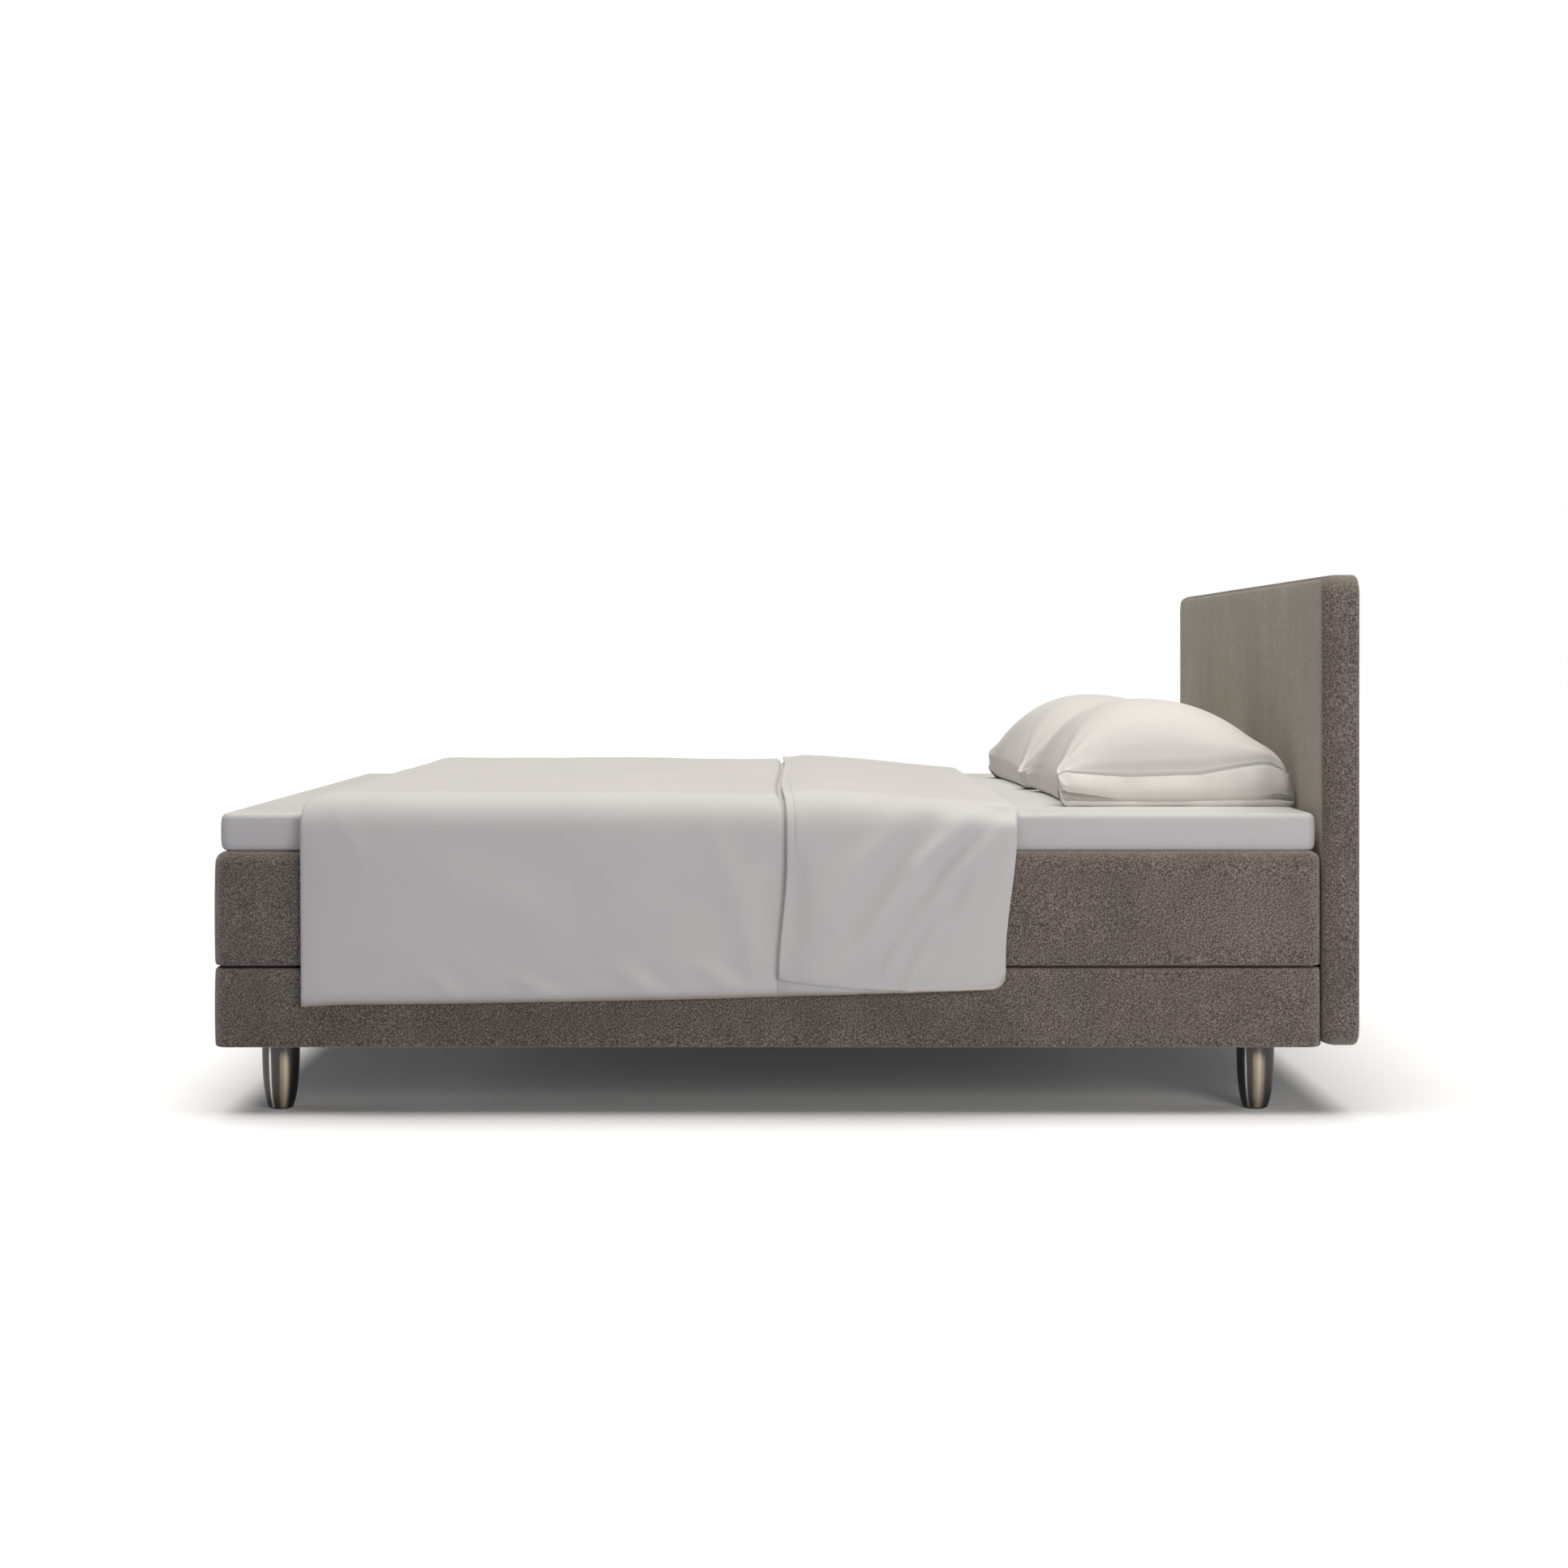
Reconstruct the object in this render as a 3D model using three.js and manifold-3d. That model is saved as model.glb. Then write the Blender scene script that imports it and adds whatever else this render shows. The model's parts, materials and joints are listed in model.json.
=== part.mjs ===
// Box spring bed: an upholstered lower box on turned metal legs, a pocket spring
// mattress in the same cloth, a thin topper in a fitted sheet, a duvet with its
// head end folded back, two pillows, and an upholstered headboard.
//
// Millimetres, +Z up. The floor is z = 0, the headboard is at the +X end and the
// near long side faces -Y. X and Y are measured from the middle of the whole bed.

import * as THREE from 'three';
import { mergeVertices } from 'three/addons/utils/BufferGeometryUtils.js';
import Module from 'manifold-3d';

const wasm = await Module();
wasm.setup();

// Sizes

// Whole bed
const boxLength = 2030;
const boxWidth = 1826;
const legHeight = 125;
const baseHeight = 148;
const mattressHeight = 210;
const topperHeight = 69;
const topperSetBack = 13;
const headboardThickness = 68;
const headboardHeight = 866;

// Clearances: pieces that rest on each other, holes round their bolts, cuts
const seatGap = 0.3;
const boltGap = 0.5;
const overrun = 5;

// Upholstered boxes
const boxCorner = 26;
const paddingThickness = 8;
const baseTopEdge = 13;
const boxBottomEdge = 9;
const hemWidth = 32;
const hemThickness = 2.4;
const dustCoverThickness = 1.6;
const dustCoverInset = 14;

// Timber frame of the lower box
const railThickness = 22;
const ledgeWidth = 28;
const ledgeHeight = 46;
const beamWidth = 60;
const slatThickness = 18;
const slatWidth = 95;
const slatCount = 6;
const blockSize = 150;
const blockHeight = 42;
const blockChamfer = 60;
const baseCoilPitch = 82;
const baseUnitInset = 14;
const basePadThickness = 12;

// Legs
const legInsetX = 107;
const legInsetY = 100;
const legRadius = 34.8;
const footRadius = 23;
const gliderRadius = 19;
const gliderHeight = 5;
const gliderShow = 1.5;
const legBoltRadius = 4;
const legBoltInLeg = 32;
const legBoltInFrame = 36;
const centreLegRadius = 20;

// Mattress
const mattressTopEdge = 22;
const borderThickness = 6;
const borderTurn = 34;
const coilPitch = 66;
const edgeFoamWidth = 58;
const lowerFoamThickness = 24;
const upperFoamThickness = 34;

// Topper and its fitted sheet
const topperCorner = 24;
const topperEdge = 12;
const sheetThickness = 2;
const sheetTuck = 90;

// Headboard
const headboardCorner = 38;
const headboardFrontRise = 32;
const headboardFrontInset = 14;
const headboardBackEdge = 9;
const headboardCoverThickness = 5;
const headboardTurn = 36;
const boardThickness = 12;
const uprightWidth = 70;
const uprightDepth = 28;
const uprightInset = 273;
const crossRailHeight = 45;
const backClothThickness = 2;
const headboardBoltRadius = 4;
const boltHeadRadius = 7;
const boltHeadHeight = 6;
const headboardBoltInUpright = 22;
const headboardBoltLow = 74;
const headboardBoltHigh = 112;

// Duvet: where its edges lie, how far it hangs, how thick it is
const duvetFootInset = 165;
const foldBackLength = 430;
const duvetHeadInset = 556;
const footEdgeSlant = 6;
const headEdgeSlant = 23;
const drapeGap = 4;
const hemHeightFoot = 201;
const hemHeightHead = 232;
const foldHemRise = 26;
const duvetLoft = 38;
const duvetSide = 22;
const foldBackLoft = 8;
const duvetRim = 9;
const duvetHeadLoft = 15;
const duvetWave = 5;
const duvetWaves = 5;
const sameLevel = 0.001;

// Pillows
const pillowLength = 668;
const pillowWidth = 462;
const pillowLoft = 186;
const pillowSeam = 40;
const pillowGap = 8;
const pillowHeadGap = 4;
const pillowDrawIn = 22;
const pillowRim = 5;
const crownAcross = { flatness: 2.2, roundness: 0.75 };
const crownAlong = { flatness: 3.2, roundness: 0.55 };
const drawInPower = 4;

// Facets
const cornerSteps = 4;
const edgeSteps = 3;
const legSides = 20;
const boltSides = 10;

// Levels and places that follow from the sizes

const bedLength = boxLength + seatGap + headboardThickness;
const footX = -bedLength / 2;
const headX = footX + boxLength;
const boxMiddleX = footX + boxLength / 2;
const headboardFrontX = headX + seatGap;
const topperLength = boxLength - 2 * topperSetBack;
const topperWidth = boxWidth - 2 * topperSetBack;
const uprightOffset = boxWidth / 2 - uprightInset;

const baseBottom = legHeight;
const baseTop = baseBottom + baseHeight;
const mattressBottom = baseTop + seatGap;
const mattressTop = mattressBottom + mattressHeight;
const topperBottom = mattressTop + seatGap;
const topperTop = topperBottom + topperHeight;

// Colours

const looks = {
  upholstery: { color: 0x6f655b, roughness: 0.95, metalness: 0 },
  dustCloth: { color: 0x26241f, roughness: 0.95, metalness: 0 },
  timber: { color: 0xc9a878, roughness: 0.8, metalness: 0 },
  board: { color: 0xb08d5e, roughness: 0.85, metalness: 0 },
  springs: { color: 0xdedcd4, roughness: 0.9, metalness: 0 },
  foam: { color: 0xe6e0c4, roughness: 0.95, metalness: 0 },
  ticking: { color: 0xe4e2dc, roughness: 0.95, metalness: 0 },
  legMetal: { color: 0x8a8374, roughness: 0.18, metalness: 1 },
  steel: { color: 0xa9abad, roughness: 0.4, metalness: 1 },
  glider: { color: 0x2b2a28, roughness: 0.7, metalness: 0 },
  bedLinen: { color: 0xe6e3df, roughness: 0.8, metalness: 0 },
};

const bed = new THREE.Group();

function piece(name, geometry, look) {
  const mesh = new THREE.Mesh(geometry, new THREE.MeshStandardMaterial(looks[look]));
  mesh.name = name;
  bed.add(mesh);
  return mesh;
}

// Tools for solids

function toSolid(geometry) {
  const bare = geometry.clone();
  bare.deleteAttribute('normal');
  bare.deleteAttribute('uv');
  const merged = mergeVertices(bare);
  return new wasm.Manifold(new wasm.Mesh({
    numProp: 3,
    vertProperties: new Float32Array(merged.attributes.position.array),
    triVerts: new Uint32Array(merged.index.array),
  }));
}

function fromSolid(solid) {
  const mesh = solid.getMesh();
  const geometry = new THREE.BufferGeometry();
  geometry.setAttribute('position', new THREE.BufferAttribute(mesh.vertProperties, 3));
  geometry.setIndex(new THREE.BufferAttribute(mesh.triVerts, 1));
  return geometry;
}

function cut(geometry, ...tools) {
  let solid = toSolid(geometry);
  for (const tool of tools) {
    solid = solid.subtract(toSolid(tool));
  }
  return fromSolid(solid);
}

function join(geometry, ...others) {
  let solid = toSolid(geometry);
  for (const other of others) {
    solid = solid.add(toSolid(other));
  }
  return fromSolid(solid);
}

// A board or strip between two corners
function block(low, high) {
  const size = high.map((value, axis) => value - low[axis]);
  const geometry = new THREE.BoxGeometry(...size);
  geometry.translate(...low.map((value, axis) => value + size[axis] / 2));
  return geometry;
}

// A round bar along +Z or +X, starting at a point
function bar(x, y, z, radius, length, axis = 'z', sides = boltSides) {
  const geometry = new THREE.CylinderGeometry(radius, radius, length, sides);
  if (axis === 'z') {
    geometry.rotateX(Math.PI / 2);
    geometry.translate(x, y, z + length / 2);
  } else {
    geometry.rotateZ(Math.PI / 2);
    geometry.translate(x + length / 2, y, z);
  }
  return geometry;
}

// A rectangle with round corners, counterclockwise, as a list of [x, y]
function roundRectangle(length, width, radius) {
  const points = [];
  const middleX = length / 2 - radius;
  const middleY = width / 2 - radius;
  const corners = [[1, 1], [-1, 1], [-1, -1], [1, -1]];
  corners.forEach(([sideX, sideY], quarter) => {
    for (let step = 0; step <= cornerSteps; step += 1) {
      const angle = (quarter + step / cornerSteps) * Math.PI / 2;
      points.push([
        sideX * middleX + radius * Math.cos(angle),
        sideY * middleY + radius * Math.sin(angle),
      ]);
    }
  });
  return points;
}

// Joins rings of [x, y, z] points, lowest first, into a closed skin with flat ends
function loft(rings) {
  const count = rings[0].length;
  const positions = rings.flat(2);
  const faces = [];
  for (let ring = 0; ring < rings.length - 1; ring += 1) {
    for (let point = 0; point < count; point += 1) {
      const a = ring * count + point;
      const b = ring * count + (point + 1) % count;
      faces.push(a, b, b + count, a, b + count, a + count);
    }
  }
  [rings[0], rings[rings.length - 1]].forEach((ring, end) => {
    const first = end * (rings.length - 1) * count;
    const hub = positions.length / 3;
    const sum = ring.reduce((total, p) => total.map((value, axis) => value + p[axis]), [0, 0, 0]);
    positions.push(...sum.map((value) => value / count));
    for (let point = 0; point < count; point += 1) {
      const here = first + point;
      const next = first + (point + 1) % count;
      faces.push(hub, end ? here : next, end ? next : here);
    }
  });
  const geometry = new THREE.BufferGeometry();
  geometry.setAttribute('position', new THREE.Float32BufferAttribute(positions, 3));
  geometry.setIndex(faces);
  return geometry;
}

// A block with round corners in plan and eased edges above and below.
// An edge is eased by an inset across and a rise along the height.
function softBlock({ x, y, bottom, top, length, width, corner, lower, upper }) {
  const levels = [];
  for (let step = 0; step <= edgeSteps; step += 1) {
    const angle = (1 - step / edgeSteps) * Math.PI / 2;
    levels.push({
      inset: lower.inset * (1 - Math.cos(angle)),
      z: bottom + lower.rise * (1 - Math.sin(angle)),
    });
  }
  for (let step = 0; step <= edgeSteps; step += 1) {
    const angle = step / edgeSteps * Math.PI / 2;
    levels.push({
      inset: upper.inset * (1 - Math.cos(angle)),
      z: top - upper.rise * (1 - Math.sin(angle)),
    });
  }
  return loft(levels.map(({ inset, z }) => (
    roundRectangle(length - 2 * inset, width - 2 * inset, corner - inset)
      .map(([pointX, pointY]) => [x + pointX, y + pointY, z])
  )));
}

function edge(radius) {
  return { inset: radius, rise: radius };
}

// A flat plate with round corners in plan
function plate(x, y, bottom, top, length, width, radius) {
  return loft([bottom, top].map((z) => (
    roundRectangle(length, width, radius).map(([pointX, pointY]) => [x + pointX, y + pointY, z])
  )));
}

// A prism over a plan outline of [x, y] points
function prism(points, bottom, top) {
  const shape = new THREE.Shape(points.map(([x, y]) => new THREE.Vector2(x, y)));
  const geometry = new THREE.ExtrudeGeometry(shape, { depth: top - bottom, bevelEnabled: false });
  geometry.translate(0, 0, bottom);
  return geometry;
}

// Turns a profile of [radius, z] points round a vertical axis at x, y
function turned(profile, x, y, sides = legSides) {
  const geometry = new THREE.LatheGeometry(
    profile.map(([radius, z]) => new THREE.Vector2(radius, z)),
    sides,
  );
  geometry.rotateX(Math.PI / 2);
  geometry.translate(x, y, 0);
  return geometry;
}

// How far each coil of a block bulges, as a share of the spacing of the coils
const coilBulgeShare = 1 / 8;

// Plan outline of a block of coils in cloth pockets: one bulge for each coil
function coilOutline(length, width, pitch) {
  const bulge = pitch * coilBulgeShare;
  const bulgeShares = [0, 1 / 3, 2 / 3];
  const halfX = length / 2 - bulge;
  const halfY = width / 2 - bulge;
  const sides = [
    { from: [halfX, -halfY], to: [halfX, halfY], out: [1, 0], span: width },
    { from: [halfX, halfY], to: [-halfX, halfY], out: [0, 1], span: length },
    { from: [-halfX, halfY], to: [-halfX, -halfY], out: [-1, 0], span: width },
    { from: [-halfX, -halfY], to: [halfX, -halfY], out: [0, -1], span: length },
  ];
  const points = [];
  for (const { from, to, out, span } of sides) {
    const coils = Math.max(1, Math.round(span / pitch));
    for (let coil = 0; coil < coils; coil += 1) {
      for (const share of bulgeShares) {
        const along = (coil + share) / coils;
        const reach = bulge * Math.sin(Math.PI * share);
        points.push([0, 1].map((axis) => (
          from[axis] + (to[axis] - from[axis]) * along + out[axis] * reach
        )));
      }
    }
  }
  return points;
}

function shifted(points, x, y) {
  return points.map(([pointX, pointY]) => [pointX + x, pointY + y]);
}

// The lower box

const frameLength = boxLength - 2 * (paddingThickness + seatGap);
const frameWidth = boxWidth - 2 * (paddingThickness + seatGap);
const frameCorner = boxCorner - paddingThickness - seatGap;
const frameBottom = baseBottom + dustCoverThickness + hemThickness + 2 * seatGap;
const basePadTop = baseTop - paddingThickness - seatGap;
const basePadBottom = basePadTop - basePadThickness;
const slatBottom = frameBottom + ledgeHeight + seatGap;
const slatTop = slatBottom + slatThickness;
const innerLength = frameLength - 2 * railThickness;
const innerWidth = frameWidth - 2 * railThickness;
const railTop = basePadBottom - seatGap;
const legPlaces = [];
for (const [endName, endSign] of [['foot', -1], ['head', 1]]) {
  for (const [sideName, sideSign] of [['near', -1], ['far', 1]]) {
    legPlaces.push({
      label: `${endName}_${sideName}`,
      endSign,
      sideSign,
      x: boxMiddleX + endSign * (boxLength / 2 - legInsetX),
      y: sideSign * (boxWidth / 2 - legInsetY),
    });
  }
}
const headboardBolts = [];
for (const [sideName, sideSign] of [['near', -1], ['far', 1]]) {
  for (const [levelName, height] of [['low', headboardBoltLow], ['high', headboardBoltHigh]]) {
    headboardBolts.push({
      label: `${sideName}_${levelName}`,
      y: sideSign * uprightOffset,
      z: baseBottom + height,
    });
  }
}

// A long clearance hole through everything between the box and the headboard
function headboardBoltHoles(radius = headboardBoltRadius + boltGap) {
  return headboardBolts.map(({ y, z }) => (
    bar(headX - paddingThickness - railThickness - overrun, y, z, radius,
      paddingThickness + railThickness + headboardThickness, 'x')
  ));
}

// Side rails run the full length with round outer corners, and carry the slats on a ledge
function sideRail(name, sideSign) {
  const outline = roundRectangle(frameLength, frameWidth, frameCorner);
  const whole = prism(shifted(outline, boxMiddleX, 0), frameBottom, railTop);
  const innerFace = sideSign * innerWidth / 2;
  const farFace = -sideSign * boxWidth;
  const board = cut(whole, block(
    [footX - overrun, Math.min(innerFace, farFace), frameBottom - overrun],
    [headX + overrun, Math.max(innerFace, farFace), railTop + overrun],
  ));
  const ledgeReach = innerLength / 2 - blockSize - overrun;
  const ledgeFaces = [
    innerFace - sideSign * ledgeWidth,
    innerFace + sideSign * railThickness / 2,
  ];
  const ledge = block(
    [boxMiddleX - ledgeReach, Math.min(...ledgeFaces), frameBottom],
    [boxMiddleX + ledgeReach, Math.max(...ledgeFaces), frameBottom + ledgeHeight],
  );
  piece(name, join(board, ledge), 'timber');
}

// End rails stand between the side rails
function endRail(name, endSign) {
  const faces = [
    boxMiddleX + endSign * innerLength / 2,
    boxMiddleX + endSign * frameLength / 2,
  ];
  const board = block(
    [Math.min(...faces), -innerWidth / 2 + seatGap, frameBottom],
    [Math.max(...faces), innerWidth / 2 - seatGap, railTop],
  );
  const takesHeadboard = endSign > 0;
  piece(name, takesHeadboard ? cut(board, ...headboardBoltHoles()) : board, 'timber');
}

sideRail('side_rail_near', -1);
sideRail('side_rail_far', 1);
endRail('end_rail_foot', -1);
endRail('end_rail_head', 1);

const beamHoleTop = frameBottom + legBoltInFrame;
piece('centre_beam', cut(
  block(
    [boxMiddleX - innerLength / 2 + seatGap, -beamWidth / 2, frameBottom],
    [boxMiddleX + innerLength / 2 - seatGap, beamWidth / 2, frameBottom + ledgeHeight],
  ),
  bar(boxMiddleX, 0, frameBottom - overrun, legBoltRadius + boltGap,
    beamHoleTop - frameBottom + overrun),
), 'timber');

// Slats lie across, from ledge to ledge over the beam
const slatRoom = innerLength - 2 * (blockSize + overrun) - slatWidth;
for (let slat = 0; slat < slatCount; slat += 1) {
  const x = boxMiddleX + slatRoom * (slat / (slatCount - 1) - 1 / 2);
  piece(`slat_${slat + 1}`, block(
    [x - slatWidth / 2, -innerWidth / 2 + seatGap, slatBottom],
    [x + slatWidth / 2, innerWidth / 2 - seatGap, slatTop],
  ), 'timber');
}

// Corner blocks take the leg bolts; the inner corner is cut off at an angle
function cornerBlock({ label, endSign, sideSign, x, y }) {
  const cornerX = boxMiddleX + endSign * (innerLength / 2 - seatGap);
  const cornerY = sideSign * (innerWidth / 2 - seatGap);
  const along = -endSign * blockSize;
  const across = -sideSign * blockSize;
  const chamferX = -endSign * blockChamfer;
  const chamferY = -sideSign * blockChamfer;
  const outline = [
    [cornerX, cornerY],
    [cornerX + along, cornerY],
    [cornerX + along, cornerY + across - chamferY],
    [cornerX + along - chamferX, cornerY + across],
    [cornerX, cornerY + across],
  ];
  piece(`corner_block_${label}`, cut(
    prism(outline, frameBottom, frameBottom + blockHeight),
    bar(x, y, frameBottom - overrun, legBoltRadius + boltGap, blockHeight + 2 * overrun),
  ), 'timber');
}
legPlaces.forEach(cornerBlock);

piece('base_spring_unit', prism(
  shifted(
    coilOutline(innerLength - 2 * baseUnitInset, innerWidth - 2 * baseUnitInset, baseCoilPitch),
    boxMiddleX,
    0,
  ),
  slatTop + seatGap,
  basePadBottom - seatGap,
), 'springs');

piece('base_pad', plate(
  boxMiddleX, 0, basePadBottom, basePadTop, frameLength, frameWidth, frameCorner,
), 'foam');

// The cloth of the box with its padding: top, sides and a hem turned in underneath
const hemOpening = boxCorner - boxBottomEdge;
piece('base_cover', cut(
  softBlock({
    x: boxMiddleX,
    y: 0,
    bottom: baseBottom,
    top: baseTop,
    length: boxLength,
    width: boxWidth,
    corner: boxCorner,
    lower: edge(boxBottomEdge),
    upper: edge(baseTopEdge),
  }),
  plate(
    boxMiddleX, 0, baseBottom + dustCoverThickness + hemThickness + seatGap, baseTop - paddingThickness,
    boxLength - 2 * paddingThickness, boxWidth - 2 * paddingThickness, boxCorner - paddingThickness,
  ),
  plate(
    boxMiddleX, 0, baseBottom - overrun, baseTop - baseHeight / 2,
    boxLength - 2 * hemWidth, boxWidth - 2 * hemWidth, hemOpening,
  ),
  plate(
    boxMiddleX, 0, baseBottom - overrun, baseBottom + dustCoverThickness + seatGap,
    boxLength - 2 * dustCoverInset, boxWidth - 2 * dustCoverInset, hemOpening,
  ),
  ...headboardBoltHoles(),
), 'upholstery');

// Black cloth under the box, let into the hem, with a hole for every leg bolt
const dustCoverTrim = dustCoverInset + seatGap;
piece('dust_cover', cut(
  plate(
    boxMiddleX, 0, baseBottom, baseBottom + dustCoverThickness,
    boxLength - 2 * dustCoverTrim, boxWidth - 2 * dustCoverTrim, hemOpening - seatGap,
  ),
  ...[...legPlaces, { x: boxMiddleX, y: 0 }].map(({ x, y }) => (
    bar(x, y, baseBottom - overrun, legBoltRadius + boltGap, dustCoverThickness + 2 * overrun)
  )),
), 'dustCloth');

// The legs

// Radius of the turned leg as shares of the taper, against shares of the height
const legTop = baseBottom - seatGap;
const legFoot = gliderShow;
const legHeightShares = [0, 0.016, 0.12, 0.26, 0.4, 0.55, 0.72, 1];
const legTaperShares = [0.1, 0, 0.3, 0.62, 0.8, 0.92, 1, 1];

function legProfile(outer) {
  const boreRadius = legBoltRadius + boltGap;
  const recessRadius = gliderRadius + boltGap;
  const recessTop = gliderHeight + seatGap;
  return [
    [0, recessTop],
    [recessRadius, recessTop],
    [recessRadius, legFoot],
    ...outer,
    [boreRadius, legTop],
    [boreRadius, legTop - legBoltInLeg],
    [0, legTop - legBoltInLeg],
  ];
}

const turnedOutline = legHeightShares.map((heightShare, index) => [
  footRadius + (legRadius - footRadius) * legTaperShares[index] - (index === 0 ? gliderShow : 0),
  legFoot + (legTop - legFoot) * heightShare,
]);
const postOutline = [
  [gliderRadius + 2 * gliderShow, legFoot],
  [gliderRadius + 2 * gliderShow, legFoot + 2 * gliderHeight],
  [centreLegRadius, legFoot + 2 * gliderHeight + gliderShow],
  [centreLegRadius, legTop],
];

function leg(label, x, y, outline, look) {
  piece(`leg_${label}`, turned(legProfile(outline), x, y), look);
  piece(`leg_bolt_${label}`, bar(
    x, y, legTop - legBoltInLeg + seatGap, legBoltRadius,
    legBoltInLeg - seatGap + frameBottom + legBoltInFrame - seatGap - legTop,
  ), 'steel');
  piece(`glider_${label}`, turned([
    [0, 0],
    [gliderRadius - gliderShow, 0],
    [gliderRadius, gliderShow],
    [gliderRadius, gliderHeight],
    [0, gliderHeight],
  ], x, y), 'glider');
}

legPlaces.forEach(({ label, x, y }) => leg(label, x, y, turnedOutline, 'legMetal'));
leg('centre', boxMiddleX, 0, postOutline, 'glider');

// The mattress

// The border is a band of the upholstery cloth on thin wadding. It turns over the
// edges, and a panel closes the opening that it leaves above and below.
const coreLength = boxLength - 2 * (borderThickness + seatGap);
const coreWidth = boxWidth - 2 * (borderThickness + seatGap);
const coreCorner = boxCorner - borderThickness - seatGap;
const panelLength = boxLength - 2 * borderTurn;
const panelWidth = boxWidth - 2 * borderTurn;
const panelCorner = boxCorner - mattressTopEdge;
const coreBottom = mattressBottom + borderThickness + seatGap;
const coreTop = mattressTop - borderThickness - seatGap;
const coilBottom = coreBottom + lowerFoamThickness + seatGap;
const coilTop = coreTop - upperFoamThickness - seatGap;

piece('mattress_border', cut(
  softBlock({
    x: boxMiddleX,
    y: 0,
    bottom: mattressBottom,
    top: mattressTop,
    length: boxLength,
    width: boxWidth,
    corner: boxCorner,
    lower: edge(boxBottomEdge),
    upper: edge(mattressTopEdge),
  }),
  softBlock({
    x: boxMiddleX,
    y: 0,
    bottom: mattressBottom + borderThickness,
    top: mattressTop - borderThickness,
    length: boxLength - 2 * borderThickness,
    width: boxWidth - 2 * borderThickness,
    corner: boxCorner - borderThickness,
    lower: edge(boxBottomEdge - borderThickness),
    upper: edge(mattressTopEdge - borderThickness),
  }),
  plate(
    boxMiddleX, 0, mattressBottom - overrun, mattressTop + overrun, panelLength, panelWidth, panelCorner,
  ),
), 'upholstery');

function mattressPanel(name, bottom) {
  piece(name, plate(
    boxMiddleX, 0, bottom, bottom + borderThickness,
    panelLength - 2 * seatGap, panelWidth - 2 * seatGap, panelCorner - seatGap,
  ), 'ticking');
}
mattressPanel('mattress_bottom_panel', mattressBottom);
mattressPanel('mattress_top_panel', mattressTop - borderThickness);

function mattressFoam(name, bottom, top, lower, upper) {
  piece(name, softBlock({
    x: boxMiddleX,
    y: 0,
    bottom,
    top,
    length: coreLength,
    width: coreWidth,
    corner: coreCorner,
    lower: edge(lower),
    upper: edge(upper),
  }), 'foam');
}
const lowerFoamEdge = boxBottomEdge - borderThickness;
mattressFoam('mattress_lower_foam', coreBottom, coilBottom - seatGap, lowerFoamEdge, lowerFoamEdge);
mattressFoam('mattress_upper_foam', coilTop + seatGap, coreTop, lowerFoamEdge,
  mattressTopEdge - borderThickness);

// A foam rim stands round the pocketed coils
const coilLength = coreLength - 2 * edgeFoamWidth;
const coilWidth = coreWidth - 2 * edgeFoamWidth;
piece('mattress_edge_foam', cut(
  plate(boxMiddleX, 0, coilBottom, coilTop, coreLength, coreWidth, coreCorner),
  plate(boxMiddleX, 0, coilBottom - overrun, coilTop + overrun, coilLength, coilWidth, panelCorner),
), 'foam');
piece('mattress_pocket_springs', prism(
  shifted(
    coilOutline(coilLength - 2 * seatGap, coilWidth - 2 * seatGap, coilPitch),
    boxMiddleX,
    0,
  ),
  coilBottom,
  coilTop,
), 'springs');

// The topper

// The sheet is a shallow upside-down tray with its rim tucked under the foam
piece('fitted_sheet', cut(
  softBlock({
    x: boxMiddleX,
    y: 0,
    bottom: topperBottom,
    top: topperTop,
    length: topperLength,
    width: topperWidth,
    corner: topperCorner,
    lower: edge(topperEdge),
    upper: edge(topperEdge),
  }),
  softBlock({
    x: boxMiddleX,
    y: 0,
    bottom: topperBottom + sheetThickness,
    top: topperTop - sheetThickness,
    length: topperLength - 2 * sheetThickness,
    width: topperWidth - 2 * sheetThickness,
    corner: topperCorner - sheetThickness,
    lower: edge(topperEdge - sheetThickness),
    upper: edge(topperEdge - sheetThickness),
  }),
  plate(
    boxMiddleX, 0, topperBottom - overrun, topperBottom + topperHeight / 2,
    topperLength - 2 * sheetTuck, topperWidth - 2 * sheetTuck, topperCorner,
  ),
), 'bedLinen');

const topperInset = sheetThickness + seatGap;
piece('topper_foam', softBlock({
  x: boxMiddleX,
  y: 0,
  bottom: topperBottom + topperInset,
  top: topperTop - topperInset,
  length: topperLength - 2 * topperInset,
  width: topperWidth - 2 * topperInset,
  corner: topperCorner - topperInset,
  lower: edge(topperEdge - topperInset),
  upper: edge(topperEdge - topperInset),
}), 'foam');

// The headboard

// Its pieces are laid out flat, face up, and then stood up: local x becomes height,
// and local z runs from the back of the headboard to its front.
const stand = new THREE.Matrix4().makeBasis(
  new THREE.Vector3(0, 0, 1),
  new THREE.Vector3(0, 1, 0),
  new THREE.Vector3(-1, 0, 0),
);
stand.setPosition(headboardFrontX + headboardThickness, 0, baseBottom);
const headboardMiddle = headboardHeight / 2;

function stood(geometry) {
  return geometry.applyMatrix4(stand);
}

function headboardShell(inset) {
  return stood(softBlock({
    x: headboardMiddle,
    y: 0,
    bottom: inset,
    top: headboardThickness - inset,
    length: headboardHeight - 2 * inset,
    width: boxWidth - 2 * inset,
    corner: headboardCorner - inset,
    lower: edge(headboardBackEdge - inset),
    upper: { inset: headboardFrontInset - inset, rise: headboardFrontRise - inset },
  }));
}

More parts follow.
